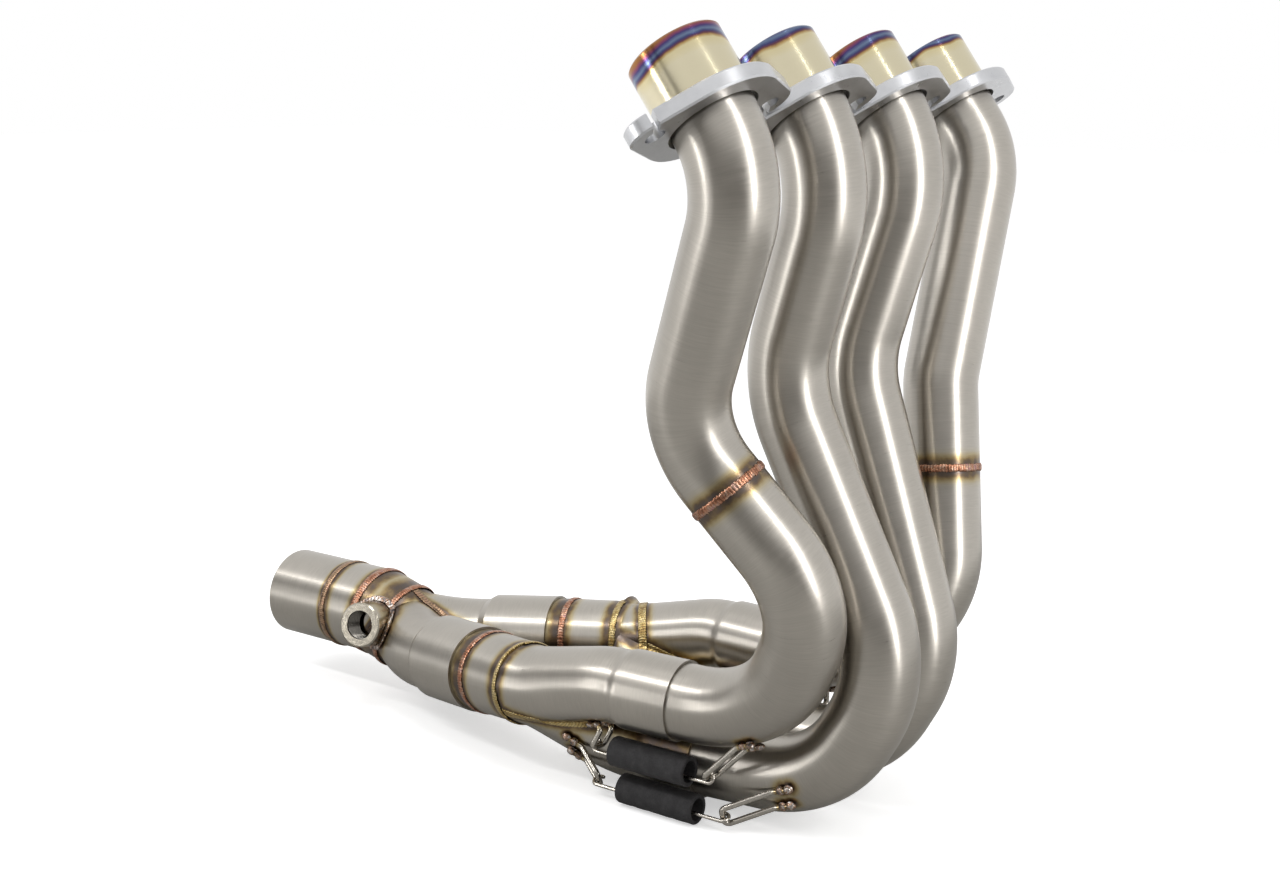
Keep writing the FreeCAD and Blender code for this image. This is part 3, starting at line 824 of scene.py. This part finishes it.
springs = []
for k in range(4):
    front, rear = hooks[k]["head"][2], hooks[k]["leg"][2]
    sides = [outward(*hooks[k][kind]) for kind in ("head", "leg")]
    name = "spring_%d" % (k + 1)
    springs.append(piece(name, spring_parts(front, rear, *sides), replaced=[name]))
print("springs:", len(springs))

# %% Cut the sleeves
SLEEVE_LENGTH = 45.0
SLEEVE_WALL = 2.2
SLEEVE_GAP = 0.3
SLEEVE_AROUND = 48
SLEEVE_RINGS = 90
RIM_ROUND = 0.6
RIM_SHARE = 0.14
WRINKLES = 9
WRINKLE_DEPTH = 0.22
SLEEVE_SEED = 30


def sleeve_parts(front, rear, seed):
    """A soft tube with rounded rims and fine wrinkles."""
    way = unit(rear - front)
    middle = (front + rear) / 2
    draw = np.random.default_rng(seed)
    share = np.linspace(-1, 1, SLEEVE_RINGS)
    inner = np.full(SLEEVE_RINGS, SPRING_R + SLEEVE_GAP)
    rim = np.clip((1 - np.abs(share)) * SLEEVE_LENGTH / 2 / RIM_ROUND, 0, 1)
    outer = inner + SLEEVE_WALL * (1 - RIM_SHARE + RIM_SHARE * np.sqrt(rim))
    angles = np.arange(SLEEVE_AROUND) * 2 * math.pi / SLEEVE_AROUND
    wrinkle = np.zeros((SLEEVE_RINGS, SLEEVE_AROUND))
    for wave in range(WRINKLES):
        turns = draw.integers(0, 4)
        pace = draw.uniform(6, 30)
        wrinkle += np.cos(share[:, None] * pace + turns * angles + draw.uniform(0, 6.3)) / WRINKLES
    outer = outer[:, None] - WRINKLE_DEPTH * (wrinkle + 0.6).clip(0, 2) * rim[:, None]
    places = middle + way * share[:, None] * SLEEVE_LENGTH / 2
    inside = np.repeat(inner[:, None], SLEEVE_AROUND, 1)
    line, ways, radii = there_and_back(places, np.repeat([way], SLEEVE_RINGS, 0), outer, inside)
    return [rings(line, ways, radii, SLEEVE_AROUND, hollow=True)]


sleeves = []
for k in range(4):
    front, rear = hooks[k]["head"][2], hooks[k]["leg"][2]
    name = "sleeve_%d" % (k + 1)
    sleeves.append(piece(name, sleeve_parts(front, rear, SLEEVE_SEED + k), replaced=[name]))
print("sleeves:", len(sleeves))

# %% [markdown]
# ## Weld beads
# A good hand weld looks like a row of coins pushed over: each dab of filler freezes as a crescent. The solids
# of the beads are plain bands, so each is copied, rebuilt from small voxels, smoothed until its edges round
# off, and then pressed in along crescents at an even spacing. The spacing follows the length of the bead
# itself, which is measured by going round it in small angles.

# %% Copy and measure a bead
VOXEL = 0.42
SMOOTHING = 0.5
SMOOTH_ROUNDS = 5
BINS = 240
GAP_LIMIT = 8.0


def bead_copy(name):
    """A copy of a bead, rebuilt from voxels and smoothed."""
    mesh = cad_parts[name].data.copy()
    mesh.name = name + "_bead"
    made = linked(name + "_bead", mesh)
    made.modifiers.new("voxels", "REMESH").voxel_size = VOXEL * MM
    smooth = made.modifiers.new("smooth", "SMOOTH")
    smooth.factor = SMOOTHING
    smooth.iterations = SMOOTH_ROUNDS
    bpy.context.view_layer.update()
    final = bpy.data.meshes.new_from_object(made.evaluated_get(bpy.context.evaluated_depsgraph_get()))
    made.modifiers.clear()
    made.data = final
    return made


def way_round(points, centre, normal):
    """Length along a bead for each of its points, measured in small angles about a centre."""
    first = unit(np.cross(normal, point(0.2, 0.3, 0.93)))
    second = np.cross(normal, first)
    local = points - centre
    x = local @ first
    y = local @ second
    angle = np.arctan2(y, x) + math.pi
    bins = np.minimum((angle / (2 * math.pi) * BINS).astype(int), BINS - 1)
    count = np.bincount(bins, minlength=BINS)
    used = np.flatnonzero(count)
    mean_x = np.bincount(bins, x, BINS)[used] / count[used]
    mean_y = np.bincount(bins, y, BINS)[used] / count[used]
    gaps = np.hypot(np.diff(mean_x), np.diff(mean_y))
    gaps[gaps > GAP_LIMIT] = 0
    length = np.concatenate([[0], np.cumsum(gaps)])
    return np.interp(angle, (used + 0.5) * 2 * math.pi / BINS, length), local @ normal


print("beads are measured in steps of", 360 / BINS, "degrees")

# %% Ripple a bead
PITCH = 1.5
RIPPLE_DEPTH = 0.2
DRIFT = 0.35
DRIFT_POINTS = 24
CRESCENT = 0.35
CRESCENT_HALF = 2.5


def bead(name, centre, normal, material, pitch=PITCH, depth=RIPPLE_DEPTH, seed=0):
    """A rippled bead in place of a CAD bead."""
    made = bead_copy(name)
    mesh = made.data
    points = np.zeros(len(mesh.vertices) * 3, np.float32)
    mesh.vertices.foreach_get("co", points)
    points = points.reshape(-1, 3).astype(float)
    normals = np.array([vertex.normal for vertex in mesh.vertices], float)
    length, aside = way_round(points / MM, centre, unit(normal))
    draw = np.random.default_rng(seed)
    stations = np.linspace(0, max(length.max(), 1), DRIFT_POINTS)
    drift = np.interp(length, stations, draw.uniform(-DRIFT, DRIFT, DRIFT_POINTS))
    phase = length / pitch + drift + (aside / CRESCENT_HALF) ** 2 * CRESCENT
    groove = np.abs((phase % 1.0) - 0.5) * 2
    points -= normals * (depth * MM * groove ** 3)[:, None]
    mesh.vertices.foreach_set("co", points.astype(np.float32).ravel())
    ripple = mesh.attributes.new("ripple", "FLOAT", "POINT")
    ripple.data.foreach_set("value", groove.astype(np.float32))
    mesh.polygons.foreach_set("use_smooth", np.ones(len(mesh.polygons), bool))
    mesh.materials.clear()
    mesh.materials.append(material)
    mesh.update()
    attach(made, "header")
    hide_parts(name)
    return made


print("ripples every", PITCH, "mm")

# %% [markdown]
# ## Colours of the beads
# Filler shows its own heat colours: copper pink where it cooled slowly, gold or tan elsewhere. A noise picks
# the colour from a ramp, which is quicker than painting each bead and never repeats. Grooves between the
# ripples are given a darker colour, so each point of a bead remembers its groove.

# %% Weld finishes
COPPER = [(0.30, (0.12, 0.07, 0.05)), (0.40, (0.32, 0.14, 0.08)), (0.49, (0.45, 0.22, 0.14)),
          (0.57, (0.50, 0.33, 0.24)), (0.65, (0.38, 0.19, 0.19)), (0.78, (0.24, 0.16, 0.11))]
GOLD = [(0.30, (0.17, 0.11, 0.05)), (0.42, (0.38, 0.26, 0.10)), (0.52, (0.52, 0.40, 0.18)),
        (0.62, (0.56, 0.45, 0.24)), (0.72, (0.40, 0.26, 0.14)), (0.85, (0.24, 0.17, 0.10))]
TAN = [(0.30, (0.12, 0.08, 0.06)), (0.42, (0.26, 0.17, 0.11)), (0.52, (0.40, 0.27, 0.17)),
       (0.62, (0.36, 0.21, 0.14)), (0.78, (0.20, 0.16, 0.13))]
SILVER = [(0.30, (0.06, 0.05, 0.05)), (0.42, (0.22, 0.19, 0.18)), (0.50, (0.42, 0.25, 0.16)),
          (0.56, (0.62, 0.59, 0.56)), (0.64, (0.30, 0.25, 0.23)), (0.76, (0.12, 0.10, 0.12))]


def filler(name, colours):
    """Weld metal: colours by noise, darker in its grooves, finely wrinkled."""
    material, tree, shader = start_material(name, Metallic=1.0)
    place = placed(tree)
    colour = ramp(tree, noise(tree, place, 260.0, 4.0, 0.65), colours)
    groove = put(tree, "ShaderNodeAttribute", attribute_name="ripple").outputs["Fac"]
    dark = spread(tree, groove, 0.45, 1.0, 1.0, 0.42)
    skin = noise(tree, place, 2200.0, 3.0)
    join(tree, shader, Base_Color=shaded(tree, colour, dark), Roughness=vary(tree, skin, 0.22, 0.36),
         Normal=bumped(tree, skin, 0.35, 0.2))
    return material


copper = filler("copper_weld", COPPER)
gold = filler("gold_weld", GOLD)
tan = filler("tan_weld", TAN)
silver = filler("silver_weld", SILVER)
print("fillers:", [one.name for one in (copper, gold, tan, silver)])

# %% Lay every bead
for k in (0, 3):
    start, end = head_corners(k)[:2]
    place = start + (end - start) * WELD_SHARE
    bead("head_pipe_%d_weld" % (k + 1), place, unit(end - start), copper, seed=k)
for side, flip, pair in SIDES:
    bead(side + "_collector_ring_weld", flip(MERGE), flip(LINK_AXIS), gold, 1.3, 0.12, 21)
    bead(side + "_collector_slip_weld", flip(LINK_START), flip(LINK_AXIS), copper, seed=22)
    bead(side + "_collector_seam_weld", flip(MERGE - LINK_AXIS * 16), flip(SPLIT), gold, 1.8, 0.25, 23)
bead("far_collector_pie_weld", PIE_CUT, PIE_AXIS, gold, seed=24)
bead("final_collector_seam_weld", FINAL - WEDGE_AXIS * 12, point(0, 1, 0), tan, 1.8, 0.25, 25)
bead("final_collector_legs_weld", FINAL, WEDGE_AXIS, copper, seed=26)
bead("final_collector_wedge_weld", MITRE, BISECTOR, copper, seed=27)
bead("final_collector_outlet_weld", OUTLET_WELD, REAR, tan, 1.3, 0.12, 28)
bead("final_collector_bung_weld", BUNG_FOOT + BUNG_WAY * OUTLET_R, BUNG_WAY, silver, 2.2, 0.5, 29)

# %% [markdown]
# ## Sensor bung thread
# The oxygen sensor screws into the bung. A thread could be cut with a screw modifier and a boolean, but that
# leaves ragged faces. Here the radius at each point depends on its angle plus its height, so one surface of
# rings carries the whole helix.

# %% Cut the thread
THREAD_PITCH = 1.5
THREAD_DEPTH = 0.7
THREAD_AROUND = 72
THREAD_STEP = 0.12
THREAD_FOOT = 3.5
THREAD_TOP = 0.6
THREAD_FADE = 1.2
FLANK_SLOPE = 3.2
FLANK_TOP = 1.25
THREAD_LAP = 0.02
THREAD_SKIN = 0.06


def thread():
    heights = np.arange(OUTLET_R + THREAD_FOOT, OUTLET_R + BUNG_LENGTH - THREAD_TOP, THREAD_STEP)
    angles = np.arange(THREAD_AROUND) * 2 * math.pi / THREAD_AROUND
    turn = (heights[:, None] / THREAD_PITCH + angles / (2 * math.pi)) % 1.0
    tooth = np.clip(FLANK_TOP - np.abs(turn - 0.5) * FLANK_SLOPE, 0, 1)
    fade = np.clip((heights[-1] - heights) / THREAD_FADE, 0, 1)[:, None]
    inner = BUNG_BORE_R - THREAD_SKIN - THREAD_DEPTH * tooth * fade
    outer = np.full(inner.shape, BUNG_BORE_R - THREAD_LAP)
    places = BUNG_FOOT + BUNG_WAY * heights[:, None]
    line, ways, radii = there_and_back(places, np.repeat([BUNG_WAY], len(heights), 0), outer, inner)
    return rings(line, ways, radii, THREAD_AROUND, hollow=True)


bung_thread = piece("bung_thread", [thread()])
print("thread points:", len(bung_thread.data.vertices))

# %% [markdown]
# ## Brushed pieces
# Every tube gets the brushed recipe with its own axis and with the welds near it. The swept pipes and legs need
# no axis, because their points know it. Each weld is given with a core, which is as dark as the heat makes it,
# and a reach, over which the colour runs out. Both are in millimetres, and a larger weld reaches farther.

# %% Steel for the head pipes
RING_CORE = 2.3
SEAM_CORE = 2.0
TACK_CORE = 2.0
for k, made in head_pipes.items():
    lines = [(weld_distance(k), RING_CORE, 9.0)] if k in (0, 3) else []
    spots = [(tack, TACK_CORE, 6.5) for tack in tack_places["head"][k]]
    finish = steel("brushed_head_pipe_%d" % (k + 1), lines=lines, spots=spots)
    for one in made:
        one.data.materials.append(finish)
print("head pipes finished:", len(head_pipes))

# %% Steel for the collectors
SLIP_TONE = 0.9
for side, flip, pair in SIDES:
    merge, link, split = flip(MERGE), flip(LINK_AXIS), flip(SPLIT)
    end, end_axis = (PIE_CUT, PIE_AXIS) if side == "far" else (merge, link)
    for k in pair:
        spots = [(tack, TACK_CORE, 6.0) for tack in tack_places["leg"][k]]
        legs[k].data.materials.append(steel("brushed_" + legs[k].name, spots=spots, planes=[
            (end, end_axis, RING_CORE, 6.5), (merge, split, SEAM_CORE, 7.0)]))
    name = "%s_collector_cone" % side
    cone_end = flip(LINK_START)
    dress(name, steel("brushed_" + name, link,
                      planes=[(merge, link, RING_CORE + 1.2, 7.0), (cone_end, link, RING_CORE, 7.0)]))
    name = "%s_collector_slip_tube" % side
    dress(name, steel("brushed_" + name, link, planes=[(cone_end, link, RING_CORE + 1.5, 12.0)],
                      tone=SLIP_TONE))
dress("far_collector_pie", steel("brushed_far_collector_pie", mirrored(LINK_AXIS),
                                 planes=[(PIE_CUT, PIE_AXIS, RING_CORE, 6.0),
                                         (mirrored(MERGE), mirrored(LINK_AXIS), RING_CORE, 6.0),
                                         (mirrored(MERGE), mirrored(SPLIT), SEAM_CORE, 6.0)]))
print("pair collectors finished:", len(SIDES))

# %% Steel for the final collector
bung_base = BUNG_FOOT + BUNG_WAY * (OUTLET_R + 1)
for side, flip, pair in SIDES:
    corner, link = flip(FINAL_CORNER), flip(LINK_AXIS)
    name = "final_collector_leg_" + side
    dress(name, steel("brushed_" + name, link, (corner, unit(FINAL - corner)),
                      planes=[(FINAL, WEDGE_AXIS, RING_CORE, 12.0), (FINAL, point(0, 1, 0), SEAM_CORE, 6.0)],
                      spots=[(bung_base, BUNG_R + 2.5, 11.0)]))
dress("final_collector_wedge", steel("brushed_wedge", WEDGE_AXIS,
                                     planes=[(FINAL, WEDGE_AXIS, 5.0, 16.0), (MITRE, BISECTOR, 4.0, 12.0)]))
dress("final_collector_body", steel("brushed_body", REAR, spots=[(bung_base, BUNG_R + 2.0, 8.0)],
                                    planes=[(MITRE, BISECTOR, RING_CORE, 7.0),
                                            (OUTLET_WELD, REAR, RING_CORE, 6.0)]))
dress("final_collector_outlet_tube", steel("brushed_outlet", REAR,
                                           planes=[(OUTLET_WELD, REAR, RING_CORE, 4.0)]))
print("bung stands", round(float(np.linalg.norm(bung_base - FINAL))), "mm from the final merge")

# %% [markdown]
# ## Blued spigots
# Each spigot is a turned and polished ring that enters the port. Welding heated it, and it shows every heat
# colour in turn: straw, orange, purple and blue, then brown at the rim. A ramp along the port's axis alone
# would give bands as straight as paint, so two noises shift it a little. Each spigot also has its own shift,
# because no two were heated alike.

# %% Polish and blue the spigots
BLUED = [
    (0.0, (0.30, 0.22, 0.16)),
    (0.04, (0.34, 0.18, 0.07)),
    (0.18, (0.30, 0.13, 0.05)),
    (0.27, (0.20, 0.06, 0.11)),
    (0.34, (0.060, 0.045, 0.150)),
    (0.44, (0.130, 0.175, 0.270)),
    (0.52, (0.050, 0.050, 0.140)),
    (0.58, (0.13, 0.050, 0.060)),
    (0.63, (0.38, 0.25, 0.10)),
    (0.70, (0.58, 0.505, 0.30)),
    (1.0, (0.60, 0.545, 0.39)),
]
BLUE_SPAN = 14.0
BLUE_SHIFT = [0.4, 4.4, 1.6, 4.9]


def spigot_finish(k):
    """Straw coloured polish that runs through orange and purple to blue at the mouth."""
    material, tree, shader = start_material("blued_spigot_%d" % (k + 1), Metallic=1.0, Anisotropic=0.5)
    place, distance, heading = pipe_coordinates(tree, PORT_AXIS)
    start = (float(np.dot(PORTS[k], PORT_AXIS)) - BLUE_SHIFT[k]) * MM
    patch = noise(tree, place, 30.0, 1.0)
    waver = noise(tree, place, 210.0, 4.0)
    shift = calc(tree, "ADD", vary(tree, patch, -0.0022, 0.0018), vary(tree, waver, -0.0002, 0.0002))
    depth = calc(tree, "ADD", calc(tree, "SUBTRACT", distance, start), shift)
    colour = ramp(tree, spread(tree, depth, 0.0, BLUE_SPAN * MM, 0.0, 1.0), BLUED)
    fine, coarse = scratches(tree, place, distance)
    join(tree, shader, Base_Color=colour, Roughness=vary(tree, fine, 0.15, 0.22), Tangent=heading,
         Normal=bumped(tree, fine, 0.06, 0.2))
    return material


for k in range(4):
    dress("port_spigot_%d" % (k + 1), spigot_finish(k))
print("heat bands on each spigot:", len(BLUED))

# %% [markdown]
# ## Port flanges
# The flanges are cast in aluminium and machined flat, then left plain. A single grey would look like plastic.
# Two noises take care of that: a fine one for the pits of the casting, and a wide one for scuffs, which
# changes the colour and the roughness together.

# %% Finish the flanges
def aluminium(name):
    """Plain aluminium plate: pale, faintly pitted and scuffed."""
    material, tree, shader = start_material(name, Metallic=1.0)
    place = placed(tree)
    cast = noise(tree, place, 420.0, 5.0, 0.6)
    scuff = noise(tree, place, 60.0, 4.0, 0.65)
    colour = ramp(tree, scuff, [(0.3, (0.48, 0.485, 0.50)), (0.5, (0.53, 0.535, 0.55)),
                                (0.7, (0.57, 0.575, 0.59))])
    rough = calc(tree, "ADD", vary(tree, cast, 0.27, 0.33), vary(tree, scuff, -0.02, 0.03))
    join(tree, shader, Base_Color=colour, Roughness=rough, Normal=bumped(tree, cast, 0.025, 0.3))
    return material


flange_finish = aluminium("machined_aluminium")
for k in range(4):
    dress("port_flange_%d" % (k + 1), flange_finish)
print("slots that hold", flange_finish.name + ":", flange_finish.users)

# %% [markdown]
# ## Bung and its thread
# The bung is turned, so the brushed recipe suits it too, with its scratches round its own axis. One wide heat
# plane tints the whole piece straw, since it is small and was welded all round. The thread's colour is painted
# darker than the outside, as painted shade for the hole, where little light gets in.

# %% Finish the bung
bung_finish = steel("turned_bung", BUNG_WAY, planes=[(bung_base, BUNG_WAY, -6.0, 30.0)], rough=0.2, tone=0.95)
dress("final_collector_bung", bung_finish)
# A tone of 0.4 paints shade into the thread's colour, for the dark inside of the hole.
bung_thread.data.materials.append(steel("cut_thread_painted_shade", BUNG_WAY, rough=0.22, tone=0.4))
print("bung finishes:", bung_finish.name, "and", bung_thread.data.materials[0].name)

# %% [markdown]
# ## Spring wire
# Hooks and springs are drawn steel wire, brighter than the tubes and faintly streaked. The brushed recipe could
# follow the wire round every bend, but at two or three millimetres nobody sees the direction of a scratch, so a
# fine noise is enough. Where a hook was tacked, its feet are browned by the same heat recipe as the tubes, with
# the tacks as its spots.

# %% Finish the wire
def wire_finish(name, spots=()):
    """Drawn steel wire: bright, faintly streaked, browned where it was tacked."""
    material, tree, shader = start_material(name, Metallic=1.0)
    place = placed(tree)
    level = heat_level(tree, place, spots=spots)
    colour = ramp(tree, level if level else 0.0, TEMPER)
    streak = noise(tree, place, 900.0, 3.0)
    join(tree, shader, Base_Color=shaded(tree, colour, vary(tree, streak, 1.0, 1.35)),
         Roughness=vary(tree, streak, 0.16, 0.28), Normal=bumped(tree, streak, 0.1, 0.2))
    return material


spring_finish = wire_finish("spring_wire")
for spring in springs:
    spring.data.materials.append(spring_finish)
for tack in tack_pieces:
    tack.data.materials.append(silver)
for bar, tacks in hook_pieces:
    bar.data.materials.append(wire_finish("wire_" + bar.name, [(tack, 1.5, 3.5) for tack in tacks]))
print("wire pieces finished:", len(springs) + len(hook_pieces))

# %% [markdown]
# ## Rubber sleeves
# Black rubber is never quite black: dust lies on it, and its skin scatters the light. A dark ramp under a wide
# noise gives the dust, and a fine bump and a high roughness give the skin.

# %% Finish the sleeves
def rubber():
    """Matt black rubber tube with a dusty bloom and fine wrinkles."""
    material, tree, shader = start_material("black_rubber", Specular_IOR_Level=0.35)
    place = placed(tree)
    grain = noise(tree, place, 1500.0, 4.0, 0.6)
    dust = noise(tree, place, 170.0, 4.0, 0.6)
    colour = ramp(tree, dust, [(0.3, (0.014, 0.013, 0.014)), (0.55, (0.022, 0.021, 0.022)),
                               (0.75, (0.036, 0.034, 0.035))])
    join(tree, shader, Base_Color=colour, Roughness=vary(tree, grain, 0.55, 0.8),
         Normal=bumped(tree, grain, 0.45, 0.4))
    return material


sleeve_finish = rubber()
for sleeve in sleeves:
    sleeve.data.materials.append(sleeve_finish)
print("sleeves finished:", len(sleeves))

# %% [markdown]
# ## Camera
# The camera stands where the photograph was taken from: in front of the bike's right side and a little above
# the pipes. A constraint could aim it, but its place, its direction and its lens were found by fitting the
# outline of the part to the photograph, so they are written down as they are.

# %% Set up the camera
CAMERA = Vector((0.3974, -0.7070, -0.0099))
RIGHT = Vector((0.8186, 0.5743, 0.0084)).normalized()
LOOK = Vector((-0.5601, 0.8013, -0.2103)).normalized()
LENS = 47.59
SENSOR = 36.0
NEAR_CLIP = 0.01

camera = linked("camera", bpy.data.cameras.new("camera"))
up = RIGHT.cross(LOOK).normalized()
side = LOOK.cross(up).normalized()
camera.matrix_world = Matrix.Translation(CAMERA) @ Matrix((side, up, -LOOK)).transposed().to_4x4()
camera.data.lens = LENS
camera.data.sensor_width = SENSOR
camera.data.clip_start = NEAR_CLIP
bpy.context.scene.camera = camera
print("camera looks down by", round(math.degrees(math.asin(-LOOK.z)), 1), "degrees")

# %% [markdown]
# ## White tent and floor
# The photograph has a plain white background. A white world alone would wash out every shadow, so the world is
# white for what the camera and the reflections see, and weaker as a light. The floor is matt white paper that
# glows a little in the same way, which keeps it white and lets a soft shadow through.

# %% World and floor
scene = bpy.context.scene
scene.view_settings.view_transform = "Standard"
WORLD_LIGHT = 0.55
FLOOR_GLOW = 0.5
FLOOR_SIZE = 16
FLOOR_DROP = 0.0002


def background_share(tree):
    """One for rays that should see the plain pale background."""
    rays = put(tree, "ShaderNodeLightPath").outputs
    seen = calc(tree, "MAXIMUM", rays["Is Camera Ray"], rays["Is Glossy Ray"])
    return calc(tree, "MAXIMUM", seen, rays["Is Transmission Ray"])


world = bpy.data.worlds.new("tent")
scene.world = world
world.use_nodes = True
background = world.node_tree.nodes["Background"]
share = background_share(world.node_tree)
strength = spread(world.node_tree, share, 0.0, 1.0, WORLD_LIGHT, 1.0)
world.node_tree.links.new(strength, background.inputs["Strength"])
background.inputs["Color"].default_value = (1, 1, 1, 1)

low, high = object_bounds()
middle = (low + high) / 2
bpy.ops.mesh.primitive_plane_add(size=FLOOR_SIZE, location=(middle.x, middle.y, low.z - FLOOR_DROP))
floor = bpy.context.object
floor.name = "floor"
paper, tree, shader = start_material("white_paper", Roughness=0.9)
grain = noise(tree, placed(tree), 40.0, 4.0)
join(tree, shader, Base_Color=ramp(tree, grain, [(0.3, (0.88, 0.88, 0.88)), (0.7, (0.92, 0.92, 0.92))]),
     Emission_Strength=calc(tree, "MULTIPLY", background_share(tree), FLOOR_GLOW))
shader.inputs["Emission Color"].default_value = (1, 1, 1, 1)
floor.data.materials.append(paper)
print("floor at z =", round(floor.location.z, 4))

# %% [markdown]
# ## Soft lights
# Every tube shows two bright lines, so two tall narrow lights stood to the left and the right of the camera. A
# wide light from above gives the flanges and the sleeves their soft tops, and a long bar high on the left draws
# the bright line along the collectors, which lie across the picture.

# %% Hang the lights
def lamp(name, place, way, size, power):
    """A soft rectangular light at a place seen from the part's middle, shining along a direction."""
    light = bpy.data.lights.new(name, "AREA")
    light.shape = "RECTANGLE"
    light.size, light.size_y = size
    light.energy = power
    made = linked(name, light)
    made.location = middle + place
    made.rotation_euler = way.to_track_quat("-Z", "Y").to_euler()


def camera_turn(angle):
    """A heading in the floor plane, turned by some degrees from the camera's side of the part."""
    toward = (CAMERA - middle).to_2d()
    return math.atan2(toward.y, toward.x) + math.radians(angle)


def strip(name, angle, height, distance, size, power):
    """A light that stands round the part from the camera and points at its middle."""
    heading = camera_turn(angle)
    place = Vector((math.cos(heading) * distance, math.sin(heading) * distance, height))
    lamp(name, place, -place, size, power)


strip("strip_right", 43, 0.35, 1.3, (0.075, 1.7), 9)
strip("strip_left", -70, 0.1, 1.3, (0.10, 0.6), 2.4)
strip("top", 0, 1.5, 0.3, (0.8, 0.5), 6)
lamp("bar", Vector((-0.6, -0.75, 0.94)), Vector((0, 0.75, -1.07)), (1.4, 0.06), 5.5)
print("lights:", len(bpy.data.lights))

# %% [markdown]
# ## Grey cards
# Polished tube is a mirror, and in a white tent it would look white all over. In a studio, grey cards stand
# outside the picture and show on the metal as the darker bands between the bright lines. Here one bent card
# stands behind the camera, one on its left, and a round grey table lies under the part. Only reflections see
# them, so they change neither the background nor the shadows.

# %% Helpers for the cards
PANEL_R = 1.7
PANEL_TOP = 0.35
TABLE_R = 0.8
CARD_POINTS = 24
CARD_LIFT = 0.0001


def card(name, corners, faces, dark, light):
    """A card of grey cloth that only the metal sees."""
    mesh = bpy.data.meshes.new(name)
    mesh.from_pydata(corners, [], faces)
    made = linked(name, mesh)
    cloth, tree, shader = start_material(name + "_cloth", Roughness=1.0)
    weave = noise(tree, placed(tree), 3.0, 2.0)
    join(tree, shader, Base_Color=ramp(tree, weave, [(0.3, dark), (0.7, light)]))
    mesh.materials.append(cloth)
    for ray in ("camera", "diffuse", "shadow", "transmission", "volume_scatter"):
        setattr(made, "visible_" + ray, False)


def ring_points(radius, angles, z):
    return [(middle.x + math.cos(a) * radius, middle.y + math.sin(a) * radius, z) for a in angles]


def wall(name, start, end, rows, dark, light):
    """A bent card between two turns from the camera's direction, through rows of radius and height."""
    turns = [camera_turn(angle) for angle in np.linspace(start, end, CARD_POINTS)]
    corners = [corner for radius, z in rows for corner in ring_points(radius, turns, z)]
    faces = [(row + i, row + i + 1, row + i + 1 + CARD_POINTS, row + i + CARD_POINTS)
             for row in range(0, CARD_POINTS * (len(rows) - 1), CARD_POINTS) for i in range(CARD_POINTS - 1)]
    card(name, corners, faces, dark, light)


print("cards stand", PANEL_R, "m from the part")

# %% Stand the cards
ground = low.z - CARD_LIFT
wall("dark_side", -52, 29, [(TABLE_R, ground), (PANEL_R, ground), (PANEL_R, PANEL_TOP)],
     (0.26, 0.252, 0.24), (0.33, 0.32, 0.308))
wall("left_side", -120, -60, [(PANEL_R, -0.2), (PANEL_R, 0.6)], (0.32, 0.315, 0.305), (0.38, 0.375, 0.365))
full = [math.radians(a) for a in range(0, 360, 6)]
card("grey_table", ring_points(TABLE_R, full, ground), [tuple(range(len(full)))],
     (0.46, 0.455, 0.44), (0.52, 0.515, 0.50))
print("cards stand on z =", round(ground, 4))
